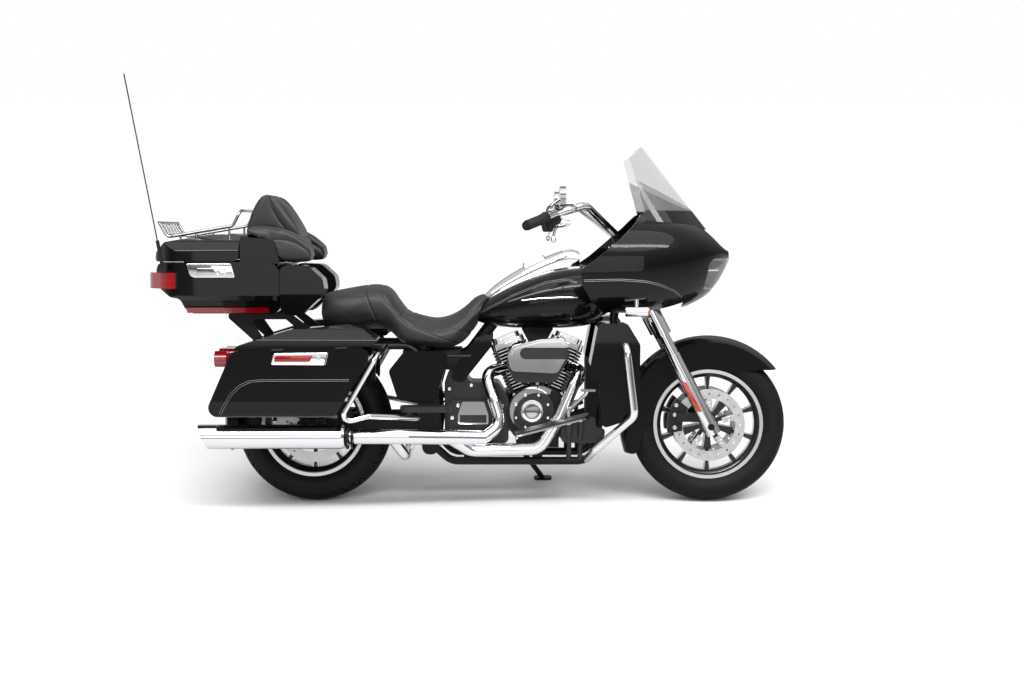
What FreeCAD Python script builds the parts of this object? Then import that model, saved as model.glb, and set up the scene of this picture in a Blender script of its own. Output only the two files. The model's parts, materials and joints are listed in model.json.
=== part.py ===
import FreeCAD, Part
import math
import os

# Touring cruiser motorcycle, full size, in millimetres, parked on its side stand.
# It is modelled upright: X forward from the rear axle, Y to the rider's left, Z up from the ground.
# At the end every piece is leaned onto the side stand and moved so that the origin is bottom centre.

# Driving dimensions
WHEELBASE = 1625.0
TYRE_RADIUS = 320.0
TYRE_CROWN_RADIUS = 95.0
FRONT_TYRE_WIDTH = 130.0
REAR_TYRE_WIDTH = 180.0
RAKE_DEG = 26.0
TRAIL = 170.0
FORK_DEG = 27.5
LEAN_DEG = 8.0
ENGINE_V_DEG = 22.5

# Shared clearances and limits
RUNNING_GAP = 0.3
OVERRUN = 60.0
REACH_SHARE = 0.49
NEARLY_STRAIGHT_DEG = 178.0
SECTION_POINTS = 20
SOFT_CORNER = 8.0

# Tyres and cast wheels
FRONT_SIDEWALL = 94.0
FRONT_RIM_RADIUS = TYRE_RADIUS - FRONT_SIDEWALL
FRONT_RIM_HALF = 52.0
FRONT_SHOULDER_HALF = 55.0
REAR_SIDEWALL = 107.0
REAR_RIM_RADIUS = TYRE_RADIUS - REAR_SIDEWALL
REAR_RIM_HALF = 74.0
REAR_SHOULDER_HALF = 76.0
TYRE_WALL = 9.0
TREAD_DEPTH = 13.0
BEAD_WIDTH = 12.0
RIM_LIP = 12.0
RIM_FLANGE = 5.0
RIM_WALL = 6.0
RIM_WELL_DEPTH = 14.0
RIM_WELL_HALF = 20.0
RIM_SLOPE = 8.0
SPOKE_COUNT = 10
SPOKE_HALF_THICK = 12.0
SPOKE_HUB_HALF = 9.0
SPOKE_WAIST_HALF = 7.0
SPOKE_RIM_HALF = 14.0
SPOKE_WAIST_SHARE = 0.62
SPOKE_BITE = 4.0
PETAL_COUNT = 5
PETAL_HUB_HALF = 8.0
PETAL_TIP_HALF = 17.0
PETAL_REACH = 105.0
PETAL_HALF_THICK = 34.0
FRONT_HUB_RADIUS = 40.0
FRONT_HUB_HALF = 62.0
REAR_HUB_RADIUS = 50.0
REAR_HUB_HALF = 92.0
AXLE_RADIUS = 12.5

# Brake discs, calipers and belt drive
DISC_RADIUS = 148.0
DISC_INNER_RADIUS = 108.0
DISC_THICK = 5.0
DISC_LUGS = 5
DISC_LUG_RADIUS = 14.0
DISC_LUG_PITCH_RADIUS = 96.0
DISC_ARM_START = 58.0
DISC_ARM_HALF = 12.0
DISC_BOSS_RADIUS = 9.0
DISC_BOSS_PITCH_RADIUS = 91.0
DISC_HOLES = 20
DISC_HOLE_RADIUS = 4.0
DISC_HOLE_PITCH_RADIUS = 128.0
FRONT_DISC_Y = 73.0
REAR_DISC_Y = 103.0
CALIPER_INNER_RADIUS = 112.0
CALIPER_OUTER_RADIUS = 172.0
CALIPER_SLOT = 5.5
CALIPER_RIM_GAP = 6.0
CALIPER_SIDE = 14.0
CALIPER_HALF_DEG = 25.0
FRONT_CALIPER_DEG = 166.0
REAR_CALIPER_DEG = 32.0
CALIPER_ARM_HALF = 18.0
CALIPER_ARM_WIDTH = 30.0
PULLEY_RADIUS = 112.0
PULLEY_RIM = 14.0
PULLEY_WEB = 9.0
PULLEY_WIDTH = 30.0
DRIVE_PULLEY_RADIUS = 52.0
DRIVE_PULLEY_X = 585.0
DRIVE_PULLEY_Z = 338.0
BELT_THICK = 6.0
BELT_GAP = 0.5
BELT_WIDTH = 26.0

# Fork, yokes and steering head
LEG_SPACING_HALF = 116.0
SLIDER_RADIUS = 29.0
SLIDER_LENGTH = 330.0
SLIDER_FOOT = 36.0
FORK_TUBE_RADIUS = 24.0
FORK_COVER_RADIUS = 36.0
FORK_COVER_LENGTH = 150.0
LOWER_YOKE_Z = 825.0
UPPER_YOKE_Z = 1045.0
YOKE_THICK = 30.0
YOKE_STEM_RADIUS = 34.0
YOKE_LEG_RADIUS = 39.0
YOKE_BRIDGE = 46.0
HEAD_BOTTOM_Z = 850.0
HEAD_TOP_Z = 1020.0
HEAD_RADIUS = 33.0
STEM_RADIUS = 18.0
RISER_HALF_SPACING = 42.0
RISER_RADIUS = 15.0

# Handlebar, grips, hand controls and mirrors
BAR_RADIUS = 16.0
BAR_BEND = 60.0
BAR_BACKSET = 390.0
BAR_ORIGIN = (WHEELBASE - BAR_BACKSET, 0.0, 1102.0)
BAR_SIZE = (-361.0, 450.0, 113.0)
BAR_SHARES = [(0.0, 0.0, 0.0), (0.0, 0.2, 0.0), (0.36, 0.644, 1.0), (0.69, 0.79, 0.70), (1.0, 1.0, 0.30)]
GRIP_RADIUS = 20.0
GRIP_LENGTH = 108.0
SWITCH_RADIUS = 26.0
SWITCH_LENGTH = 40.0
SWITCH_GAP = 2.0
LEVER_RADIUS = 6.0
LEVER_STAND_OFF = 48.0
MIRROR_STEM_RADIUS = 5.5
MIRROR_BACKSET = 614.0
MIRROR_CENTRE = (WHEELBASE - MIRROR_BACKSET, 408.0, 1246.0)
MIRROR_SIZE = (22.0, 168.0, 78.0)
MIRROR_CORNER = 34.0

# Fenders
FENDER_THICK = 3.0
FENDER_CROWN_DROP = 24.0
FRONT_FENDER_GAP = 44.0
FRONT_FENDER_RADIUS = TYRE_RADIUS + FRONT_FENDER_GAP
FRONT_FENDER_HALF = 79.0
FRONT_SKIRT_DEPTH = 132.0
FRONT_SKIRT_RADIUS = FRONT_FENDER_RADIUS - FRONT_SKIRT_DEPTH
FRONT_FENDER_SHARES = [
    (0.90, 0.62), (0.20, 0.62), (-0.10, 0.30), (-0.59, 0.16), (-0.72, -0.06), (-0.81, -0.33), (-1.10, -0.33),
    (-1.10, 1.10), (0.90, 1.10),
]
FENDER_CORNER = 26.0
FENDER_STUD_RADIUS = 9.0
FENDER_STUD_SHARES = [0.72, 0.94]
REAR_FENDER_GAP = 52.0
REAR_FENDER_LIFT = 20.0
REAR_FENDER_RADIUS = TYRE_RADIUS + REAR_FENDER_GAP
REAR_FENDER_Z = TYRE_RADIUS + REAR_FENDER_LIFT
REAR_FENDER_HALF = 115.0
REAR_SKIRT_DEPTH = 72.0
REAR_SKIRT_RADIUS = REAR_FENDER_RADIUS - REAR_SKIRT_DEPTH
REAR_FENDER_SHARES = [
    (0.70, 0.42), (0.30, 0.30), (-0.50, 0.20), (-0.78, -0.28), (-1.10, -0.40), (-1.10, 1.10), (0.70, 1.10),
]

# Engine and gearbox
CRANK_X = 920.0
CRANK_Z = 361.0
CRANKCASE_RADIUS = 126.0
CRANKCASE_HALF = 104.0
SUMP_HALF_LENGTH = 88.0
SUMP_HALF_WIDTH = 82.0
SUMP_BOTTOM = 228.0
DECK_START = 60.0
DECK_END = 126.0
DECK_HALF_LENGTH = 72.0
DECK_HALF_WIDTH = 80.0
DECK_CORNER = 22.0
BARREL_RADIUS = 56.0
CYLINDER_TOP = 306.0
FIN_START = 134.0
FIN_COUNT = 13
FIN_PITCH = 13.4
FIN_THICK = 4.0
FIN_HALF_LENGTH = 75.0
FIN_HALF_WIDTH = 78.0
FIN_CORNER = 32.0
CYLINDER_SPLIT = 1.5
ROCKER_HEIGHT = 24.0
ROCKER_CAP_HEIGHT = 20.0
ROCKER_HALF_LENGTH = 70.0
ROCKER_HALF_WIDTH = 66.0
ROCKER_STEP = 12.0
ROCKER_CORNER = 22.0
PUSHROD_RADIUS = 9.0
PUSHROD_Y = -90.0
PUSHROD_OFFSET = 16.0
PUSHROD_SPREAD = 11.0
PUSHROD_START = 100.0
PUSHROD_BLOCK_HALF = 26.0
PUSHROD_BLOCK_WIDTH = 44.0
PUSHROD_BLOCK_HEIGHT = 16.0
CAM_COVER_RADIUS = 90.0
CAM_COVER_THICK = 42.0
CAM_COVER_X = 897.0
CAM_COVER_Z = 386.0
LIFTER_HALF_LENGTH = 28.0
LIFTER_WIDTH = 32.0
LIFTER_HEIGHT = 22.0
TIMER_RADIUS = 62.0
TIMER_THICK = 12.0
AIR_CLEANER_ORIGIN = (797.0, -150.0, 545.0)
AIR_CLEANER_SIZE = (250.0, -82.0, 141.0)
AIR_CLEANER_CORNER = 26.0
AIR_CLEANER_EDGE = 12.0
AIR_CLEANER_SHARES = [
    (0.06, 0.06), (0.80, 0.0), (0.94, 0.42), (1.0, 0.80), (0.88, 1.0), (0.52, 0.97), (0.09, 0.78),
    (0.0, 0.50),
]
AIR_CLEANER_BACK_DEPTH = 30.0
AIR_CLEANER_BACK_DROP = 40.0
AIR_CLEANER_BACK_SHARES = [(0.12, 0.0), (0.78, 0.0), (1.02, 0.62), (0.90, 0.90), (0.10, 0.76), (-0.03, 0.42)]
AIR_CLEANER_BAND_Z = 603.0
AIR_CLEANER_BAND_HEIGHT = 46.0
AIR_CLEANER_BAND_START = 51.0
AIR_CLEANER_BAND_DEPTH = 5.0
INTAKE_RADIUS = 32.0
INTAKE_Z = 590.0
GEARBOX_ORIGIN = (540.0, -90.0, 245.0)
GEARBOX_SIZE = (262.0, 180.0, 300.0)
GEARBOX_CORNER = 24.0
GEARBOX_SHARES = [
    (0.0, 0.0), (1.0, 0.0), (1.0, 0.62), (0.84, 0.84), (0.40, 0.84), (0.30, 1.0), (0.06, 1.0), (0.0, 0.84),
]
GEARBOX_COVER_ORIGIN = (560.0, -90.0, 262.0)
GEARBOX_COVER_SIZE = (200.0, -34.0, 165.0)
GEARBOX_LID_ORIGIN = (596.0, -124.0, 330.0)
GEARBOX_LID_SIZE = (124.0, -14.0, 92.0)
GEARBOX_LID_SHARES = [(0.0, 0.0), (1.0, 0.0), (1.0, 0.42), (0.86, 1.0), (0.14, 1.0), (0.0, 0.42)]
BATTERY_ORIGIN = (372.0, 0.0, 455.0)
BATTERY_SIZE = (148.0, 0.0, 97.0)
TRAY_HALF_WIDTH = 130.0
TRAY_REAR_LENGTH = 83.0
TRAY_HEIGHT = 78.0
TRAY_FRONT_X = 500.0
TRAY_FRONT_LENGTH = 106.0
TRAY_FRONT_INNER_Y = 34.0
COOLER_ORIGIN = (1118.0, -70.0, 300.0)
COOLER_SIZE = (62.0, 140.0, 290.0)
COIL_Z = 655.0
COIL_TOP = 735.0
COIL_HALF_WIDTH = 54.0
COIL_HALF_LENGTH = 64.0
COIL_SHARES = [(-0.52, 0.0), (0.52, 0.0), (1.0, 0.72), (1.0, 1.0), (-1.0, 1.0), (-1.0, 0.72)]
PRIMARY_INNER_Y = 126.0
PRIMARY_THICK = 62.0
PRIMARY_EDGE = 12.0
PRIMARY_FRONT_RADIUS = 98.0
PRIMARY_REAR_RADIUS = 84.0
PRIMARY_REAR_X = 646.0
PRIMARY_NECK_RADIUS = 66.0

# Exhaust
MUFFLER_Y = 320.0
MUFFLER_Z = 303.0
MUFFLER_RADIUS = 48.0
MUFFLER_REAR_X = -425.0
MUFFLER_FRONT_X = 190.0
MUFFLER_SLASH = 40.0
MUFFLER_CONE = 46.0
MUFFLER_BORE_RADIUS = 41.0
MUFFLER_BORE_DEPTH = 130.0
HEADER_RADIUS = 25.0
HEADER_BEND = 62.0
SHIELD_RADIUS = 30.0
SHIELD_POINTS = 4
HEADER_ORIGIN = (190.0, -320.0, 228.0)
HEADER_SIZE = (920.0, 260.0, 340.0)
REAR_PIPE_SHARES = [
    (0.0, 0.0, 0.22), (0.22, 0.0, 0.22), (0.44, 0.22, 0.19), (0.56, 0.36, 0.17), (0.635, 0.46, 0.32),
    (0.600, 0.52, 0.62), (0.560, 0.78, 0.92), (0.655, 1.0, 0.96),
]
FRONT_PIPE_SHARES = [
    (0.40, 0.18, 0.20), (0.50, 0.36, 0.02), (0.80, 0.54, 0.02), (0.89, 0.56, 0.40), (0.96, 0.58, 0.84),
    (0.985, 0.76, 0.95), (0.93, 1.0, 0.97),
]
CROSSOVER_RADIUS = 21.0
CROSSOVER_BEND = 50.0
CROSSOVER_ORIGIN = (190.0, -320.0, 218.0)
CROSSOVER_SIZE = (200.0, 640.0, 85.0)
CROSSOVER_SHARES = [
    (0.75, 0.02, 0.90), (0.99, 0.12, 0.0), (0.99, 0.88, 0.0), (0.75, 1.0, 0.98), (0.0, 1.0, 1.0),
]

# Frame, swingarm and shocks
FRAME_TUBE_RADIUS = 16.0
FRAME_BEND = 70.0
BACKBONE_RADIUS = 26.0
BACKBONE_ORIGIN = (480.0, 0.0, 572.0)
BACKBONE_BACKSET = 753.0
BACKBONE_SIZE = (WHEELBASE - BACKBONE_BACKSET, 1.0, 333.0)
BACKBONE_SHARES = [
    (1.0, 0.0, 1.0), (0.80, 0.0, 0.64), (0.335, 0.0, 0.64), (0.185, 0.0, 0.12), (0.0, 0.0, 0.0),
]
CRADLE_ORIGIN = (480.0, 0.0, 181.0)
CRADLE_BACKSET = 735.0
CRADLE_SIZE = (WHEELBASE - CRADLE_BACKSET, 174.0, 700.0)
CRADLE_SHARES = [
    (0.865, 0.086, 0.927), (0.837, 0.316, 0.741), (0.77, 0.40, 0.12), (0.73, 0.805, 0.0), (0.10, 0.805, 0.0),
    (0.0, 1.0, 0.12),
]
PIVOT_X = 480.0
PIVOT_Z = 330.0
PIVOT_RADIUS = 27.0
PIVOT_PIN_RADIUS = 12.0
PLATE_INNER_Y = 168.0
PLATE_THICK = 12.0
PLATE_ORIGIN = (432.0, 0.0, 212.0)
PLATE_SIZE = (98.0, 0.0, 392.0)
PLATE_CORNER = 28.0
PLATE_SHARES = [(0.25, 0.0), (0.85, 0.0), (1.0, 0.30), (0.78, 1.0), (0.22, 1.0), (0.0, 0.45)]
SEAT_RAIL_Y = 150.0
SEAT_RAIL_Z = 650.0
SEAT_RAIL_RADIUS = 14.0
SEAT_RAIL_REAR_X = -235.0
SEAT_RAIL_RISE = 66.0
SEAT_RAIL_BEND_X = 400.0
FENDER_BOLT_X = 100.0
MOUNT_X = 640.0
MOUNT_LENGTH = 40.0
ENGINE_MOUNT_X = 920.0
FRONT_MOUNT_ORIGIN = (1015.0, -62.0, 262.0)
FRONT_MOUNT_BACKSET = 460.0
FRONT_MOUNT_SIZE = (WHEELBASE - FRONT_MOUNT_BACKSET - FRONT_MOUNT_ORIGIN[0], 124.0, 34.0)
ARM_INNER_Y = 133.0
ARM_THICK = 34.0
ARM_HEIGHT = 62.0
ARM_TAIL = 58.0
ARM_CORNER = 24.0
ARM_CROSS_X = 388.0
ARM_CROSS_RADIUS = 22.0
SHOCK_Y = 195.0
SHOCK_RADIUS = 23.0
SHOCK_EYE_RADIUS = 17.0
SHOCK_EYE_WIDTH = 22.0
SHOCK_LOWER = (44.0, 340.0)
SHOCK_UPPER = (98.0, 608.0)
STUD_RADIUS = 8.0
SHOCK_TAB = 22.0

# Seat and padding
SEAT_REAR_X = 44.0
SEAT_LENGTH = 677.0
SEAT_BOTTOM = 636.0
SEAT_HEIGHT = 261.0
SEAT_HALF_WIDTH = 190.0
SEAT_POWER = 2.8
SEAT_SHARES = [
    (0.0, 0.33, 0.86, 0.78), (0.10, 0.307, 0.92, 0.86), (0.24, 0.307, 0.99, 0.90), (0.353, 0.307, 1.0, 0.93),
    (0.427, 0.20, 0.874, 0.96), (0.487, 0.06, 0.651, 0.99), (0.56, 0.015, 0.52, 1.0),
    (0.653, 0.0, 0.448, 1.0),
    (0.78, 0.0, 0.498, 0.92), (0.885, 0.18, 0.686, 0.66), (0.945, 0.42, 0.828, 0.46),
    (1.0, 0.69, 0.858, 0.26),
]
BACKREST_HALF_WIDTH = 150.0
BACKREST_ORIGIN = (-258.0, 0.0, 985.0)
BACKREST_SIZE = (238.0, 0.0, 282.0)
BACKREST_CORNER = 30.0
BACKREST_SHARES = [
    (0.0, 0.10), (0.50, 0.0), (1.0, 0.0), (0.99, 0.28), (0.88, 0.51), (0.53, 0.95), (0.37, 1.0), (0.25, 0.97),
    (0.10, 0.74), (0.0, 0.48),
]
ARMREST_INNER_Y = 164.0
ARMREST_WIDTH = 124.0
ARMREST_ORIGIN = (-232.0, 0.0, 989.0)
ARMREST_SIZE = (262.0, 0.0, 150.0)
ARMREST_CORNER = 20.0
ARMREST_FRONT_CORNER = 34.0
ARMREST_SHARES = [
    (0.29, 0.50), (0.39, 0.12), (0.64, 0.0), (0.93, 0.0), (1.0, 0.14), (0.97, 0.43), (0.77, 0.72),
    (0.58, 0.89),
    (0.24, 1.0), (0.0, 0.95), (0.0, 0.80),
]

# Fuel tank, console and side panels
TANK_REAR_X = 657.0
TANK_BACKSET = 435.0
TANK_LENGTH = WHEELBASE - TANK_BACKSET - TANK_REAR_X
TANK_BOTTOM = 715.0
TANK_HEIGHT = 260.0
TANK_HALF_WIDTH = 172.0
TANK_POWER = 2.35
TANK_SHARES = [
    (0.0, 0.12, 0.26, 0.30), (0.105, 0.06, 0.47, 0.55), (0.268, 0.01, 0.673, 0.785),
    (0.456, 0.0, 0.846, 0.93),
    (0.644, 0.0, 0.962, 1.0), (0.812, 0.02, 1.0, 0.988), (0.944, 0.10, 0.942, 0.80), (1.0, 0.25, 0.80, 0.52),
]
TUNNEL_HALF_WIDTH = 34.0
TUNNEL_GAP = 6.0
CONSOLE_HALF_WIDTH = 56.0
CONSOLE_REAR_X = 705.0
CONSOLE_BACKSET = 532.0
CONSOLE_LENGTH = WHEELBASE - CONSOLE_BACKSET - CONSOLE_REAR_X
CONSOLE_BOTTOM = 790.0
CONSOLE_HEIGHT = 248.0
CONSOLE_POWER = 3.0
CONSOLE_SHARES = [
    (0.0, 0.0, 0.26, 0.60), (0.12, 0.05, 0.43, 0.80), (0.30, 0.15, 0.62, 0.92), (0.52, 0.30, 0.80, 1.0),
    (0.72, 0.45, 0.93, 1.0), (0.88, 0.50, 1.0, 1.0), (1.0, 0.55, 0.96, 0.92),
]
FUEL_DOOR_X = 905.0
FUEL_DOOR_Z = 992.0
FUEL_DOOR_SLOPE_DEG = -22.0
FUEL_DOOR_LENGTH = 92.0
FUEL_DOOR_HALF = 33.0
FUEL_DOOR_THICK = 6.0
FUEL_DOOR_GAP = 0.8
FUEL_RING_DEPTH = 60.0
SIDE_COVER_THICK = 14.0
SIDE_COVER_ORIGIN = (318.0, 0.0, 432.0)
SIDE_COVER_SIZE = (246.0, 0.0, 200.0)
SIDE_COVER_CORNER = 24.0
SIDE_COVER_SHARES = [(0.16, 0.0), (0.78, 0.0), (1.0, 1.0), (0.26, 1.0), (0.0, 0.60)]
DEFLECTOR_THICK = 7.0
DEFLECTOR_ORIGIN = (566.0, 0.0, 505.0)
DEFLECTOR_SIZE = (170.0, 0.0, 213.0)
DEFLECTOR_CORNER = 16.0
DEFLECTOR_SHARES = [(0.0, 0.05), (0.30, 0.0), (1.0, 0.70), (1.0, 0.94), (0.62, 0.84), (0.20, 0.42)]
DEFLECTOR_STRUT_RADIUS = 7.0

# Saddlebags, their lids and guards
BAG_REAR_X = -385.0
BAG_LENGTH = 675.0
BAG_BOTTOM = 388.0
BAG_HEIGHT = 278.0
BAG_INNER_Y = 225.0
BAG_WIDTH = 202.0
BAG_WALL = 5.0
BAG_CORNER = 38.0
BAG_SHARES = [(0.0, 0.0), (0.755, 0.0), (1.0, 1.0), (0.17, 0.94)]
BAG_EDGE = 24.0
BAG_FRONT_SHARES = [(0.0, 0.0), (0.90, 0.0), (1.0, 0.22), (1.0, 1.2), (0.0, 1.2)]
LID_GAP = 1.5
LID_REAR_X = -274.0
LID_LENGTH = 595.0
LID_BOTTOM = 650.5
LID_HEIGHT = 98.5
LID_WALL = 5.0
LID_CORNER = 20.0
LID_SHARES = [(0.0, 0.0), (1.0, 0.183), (0.86, 0.85), (0.75, 1.0), (0.373, 0.81), (0.052, 0.22)]
LID_FRONT_SHARES = [
    (0.0, -0.2), (1.0, -0.2), (1.0, 0.40), (0.86, 0.86), (0.50, 1.0), (0.22, 0.86), (0.0, 0.46),
]
BAG_HINGE_OUT = 7.0
BAG_HINGE_RADIUS = 4.5
BAG_HINGE_LENGTH = 44.0
HINGE_PIN_RADIUS = 2.5
BAG_HINGE_SHARES = [0.28, 0.72]
BAG_LATCH_ORIGIN = (-105.0, 0.0, 600.0)
BAG_LATCH_SIZE = (196.0, 6.0, 40.0)
BAG_MOUNT_XS = (-130.0, 190.0)
BAG_MOUNT_RADIUS = 13.0
BAG_MOUNT_DROP = 44.0
BAG_GUARD_RADIUS = 11.0
BAG_GUARD_BEND = 34.0
BAG_GUARD_ORIGIN = (134.0, 150.0, 362.0)
BAG_GUARD_SIZE = (316.0, 254.0, 288.0)
BAG_GUARD_SHARES = [
    (0.56, 0.0, 1.0), (0.53, 0.60, 0.97), (0.49, 1.0, 0.93), (0.0, 1.0, 0.0), (0.37, 0.90, 0.10),
    (0.97, 0.42, 0.02),
    (1.0, 0.12, 0.02),
]

# Top box, lid, rack, pods and antenna
BOX_REAR_X = -612.0
BOX_LENGTH = 509.0
BOX_BOTTOM = 785.0
BOX_HEIGHT = 207.0
BOX_HALF_WIDTH = 298.0
BOX_WALL = 6.0
BOX_CORNER = 46.0
BOX_SHARES = [(0.26, 0.0), (1.0, 0.0), (1.0, 1.0), (0.0, 1.0), (0.04, 0.52), (0.16, 0.32), (0.22, 0.30)]
BOX_FRONT_SHARES = [
    (-0.74, 0.0), (0.74, 0.0), (0.90, 0.26), (1.0, 0.36), (1.0, 1.6), (-1.0, 1.6), (-1.0, 0.36),
    (-0.90, 0.26),
]
BOX_PLAN_CORNER = 80.0
BOX_PLAN_SHARES = [(0.0, -0.72), (0.15, -1.0), (1.2, -1.0), (1.2, 1.0), (0.15, 1.0), (0.0, 0.72)]
BULKHEAD_LENGTH = 155.0
BULKHEAD_HEIGHT = 100.0
BULKHEAD_HALF_WIDTH = 286.0
BULKHEAD_SHARES = [(0.0, -0.2), (1.0, -0.2), (1.0, 0.10), (0.84, 0.90), (0.0, 1.0)]
BOX_LID_GAP = 1.5
BOX_LID_FRONT_GAP = 4.0
BOX_LID_REAR_X = BOX_REAR_X
BOX_LID_LENGTH = BOX_LENGTH - BULKHEAD_LENGTH - BOX_LID_FRONT_GAP
BOX_LID_HEIGHT = 110.0
BOX_LID_WALL = 6.0
BOX_LID_CORNER = 26.0
BOX_LID_SHARES = [(0.0, 0.0), (1.0, 0.0), (1.0, 1.04), (0.61, 0.97), (0.15, 0.70), (0.03, 0.34)]
BOX_LID_FRONT_SHARES = [
    (-1.0, -0.2), (1.0, -0.2), (1.0, 0.42), (0.90, 0.76), (0.55, 0.97), (0.0, 1.02), (-0.55, 0.97),
    (-0.90, 0.76),
    (-1.0, 0.42),
]
BOX_HINGE_OUT = 8.0
BOX_HINGE_RADIUS = 5.0
BOX_HINGE_LENGTH = 46.0
BOX_HINGE_SHARES = [0.24, 0.78]
SUPPORT_Y = 146.0
SUPPORT_THICK = 9.0
SUPPORT_ORIGIN = (-330.0, 0.0, 650.0)
SUPPORT_SIZE = (400.0, 0.0, 135.0)
SUPPORT_CORNER = 10.0
SUPPORT_SHARES = [(0.26, 0.0), (0.92, 0.0), (1.0, 0.14), (0.62, 1.0), (0.0, 1.0), (0.0, 0.84), (0.26, 0.14)]
SUPPORT_WINDOW_SHARES = [(0.36, 0.20), (0.82, 0.20), (0.58, 0.80), (0.22, 0.80)]
RACK_RADIUS = 6.0
RACK_POST_RADIUS = 4.5
RACK_REAR_X = -566.0
RACK_HALF_WIDTH = 178.0
RACK_REAR_Z = 1090.0
RACK_RAIL_LENGTH = 264.0
RACK_RAIL_RISE = 46.0
RACK_HOOP_LENGTH = 30.0
RACK_HOOP_RISE = 60.0
RACK_BEND = 24.0
RACK_POST_SHARES = [0.20, 0.44, 0.94]
RACK_SLATS = 6
RACK_WING_BACK = 32.0
RACK_WING_RISE = 57.0
POD_REAR_X = -103.0
POD_LENGTH = 180.0
POD_BOTTOM = 780.0
POD_HEIGHT = 202.0
POD_INNER_Y = 152.0
POD_OUTER_Y = 286.0
POD_CORNER = 34.0
POD_SHARES = [(0.0, 0.0), (0.45, 0.0), (0.87, 0.34), (0.99, 0.50), (0.95, 0.72), (0.64, 0.97), (0.0, 1.0)]
POD_FRONT_SHARES = [(0.0, -0.1), (0.62, -0.1), (1.0, 0.42), (1.0, 1.1), (0.0, 1.1)]
LAMP_WRAP_LENGTH = 126.0
LAMP_WRAP_SKIN = 22.0
SIDE_REFLECTOR_ORIGIN = (-480.0, 215.0, 788.0)
SIDE_REFLECTOR_SIZE = (327.0, 60.0, 22.0)
SIDE_REFLECTOR_SKIN = 4.0
LAMP_WRAP_Z = 887.0
LAMP_WRAP_HEIGHT = 63.0
LAMP_WRAP_INNER_Y = 170.0
ANTENNA_X = -556.0
ANTENNA_Y = -316.0
ANTENNA_BRACKET = (34.0, 95.0, 26.0)
ANTENNA_BRACKET_MARGIN = 12.0
ANTENNA_BRACKET_Z = 958.0
ANTENNA_BASE_RADIUS = 7.0
ANTENNA_BASE_LENGTH = 108.0
ANTENNA_ROD_RADIUS = 2.5
ANTENNA_ROD_LENGTH = 660.0
ANTENNA_RAKE_DEG = 10.5

# Tail lamps and plate holder
TAIL_LAMP_BEHIND = 16.0
TAIL_LAMP_REAR_X = -REAR_FENDER_RADIUS - TAIL_LAMP_BEHIND
TAIL_LAMP_HALF = 60.0
TAIL_LAMP_BOTTOM = 560.0
TAIL_LAMP_HEIGHT = 72.0
TAIL_LAMP_CORNER = 20.0
SIGNAL_RADIUS = 33.0
SIGNAL_LENGTH = 48.0
SIGNAL_Y = 134.0
SIGNAL_BAR_RADIUS = 11.0
PLATE_HOLDER_SIZE = (4.0, 176.0, 104.0)
PLATE_HOLDER_X = -366.0
PLATE_HOLDER_Z = 436.0

# Fairing, dash, windscreen and front lamps
FAIRING_BACKSET = 539.0
FAIRING_REAR_X = WHEELBASE - FAIRING_BACKSET
FAIRING_LENGTH = 619.0
FAIRING_BOTTOM = 784.0
FAIRING_HEIGHT = 402.0
FAIRING_HALF_WIDTH = 345.0
FAIRING_POWER = 2.6
FAIRING_WALL = 5.0
FAIRING_SHARES = [
    (-0.10, -0.06, 1.01, 0.975), (0.265, -0.06, 1.01, 1.0), (0.507, -0.022, 0.998, 0.942),
    (0.701, 0.04, 0.948, 0.783), (0.847, 0.164, 0.823, 0.565), (0.943, 0.338, 0.687, 0.319),
    (1.0, 0.50, 0.62, 0.12),
]
FAIRING_SIDE_SHARES = [
    (0.013, 0.28), (0.076, 0.122), (0.153, 0.015), (0.541, 0.0), (0.708, 0.07), (0.84, 0.17), (1.06, 0.45),
    (1.06, 0.65), (0.80, 0.94), (0.50, 1.03), (0.40, 0.985), (0.33, 0.86), (0.20, 0.68), (0.10, 0.55),
    (0.0, 0.445),
]
FAIRING_CORNER = 22.0
FORK_WELL_HALF = 205.0
FORK_WELL_LENGTH = 414.0
FORK_WELL_FRONT_X = FAIRING_REAR_X + FORK_WELL_LENGTH
FORK_WELL_TOP = 905.0
LAMP_WINDOW_HALF = 205.0
LAMP_WINDOW_Z = 872.0
LAMP_WINDOW_HEIGHT = 132.0
LAMP_WINDOW_CORNER = 44.0
LAMP_WINDOW_AHEAD = 434.0
LAMP_WINDOW_REAR_X = FAIRING_REAR_X + LAMP_WINDOW_AHEAD
LAMP_UNIT_RADIUS = 54.0
LAMP_UNIT_Y = 80.0
LAMP_UNIT_AHEAD = 459.0
LAMP_UNIT_REAR_X = FAIRING_REAR_X + LAMP_UNIT_AHEAD
DASH_AHEAD = 84.0
DASH_THICK = 18.0
DASH_BOTTOM = 905.0
DASH_TOP = 1140.0
BRACKET_LOW_Z = 925.0
BRACKET_HIGH_Z = 985.0
BRACKET_HALF = 40.0
GAUGE_RADIUS = 44.0
GAUGE_SMALL_RADIUS = 24.0
GAUGE_DEPTH = 12.0
GAUGE_SHARES = [(0.17, 0.76, True), (0.46, 0.74, False), (0.62, 0.56, False)]
SCREEN_THICK = 4.0
SCREEN_BASE_Z = 1120.0
SCREEN_HEIGHT = 350.0
SCREEN_BASE_AHEAD = 280.0
SCREEN_BASE_X = FAIRING_REAR_X + SCREEN_BASE_AHEAD
SCREEN_BASE_HALF = 232.0
SCREEN_BASE_DEPTH = 250.0
SCREEN_TOP_AHEAD = 182.0
SCREEN_TOP_X = FAIRING_REAR_X + SCREEN_TOP_AHEAD
SCREEN_TOP_HALF = 162.0
SCREEN_TOP_DEPTH = 72.0
SCREEN_CORNER = 60.0
SCREEN_FRONT_SHARES = [
    (-1.1, -0.1), (1.1, -0.1), (1.0, 0.30), (0.80, 0.80), (0.42, 0.945), (0.0, 0.97), (-0.42, 0.945),
    (-0.80, 0.80), (-1.0, 0.30),
]
FRONT_SIGNAL_RADIUS = 22.0
FRONT_SIGNAL_AHEAD = 179.0
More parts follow.
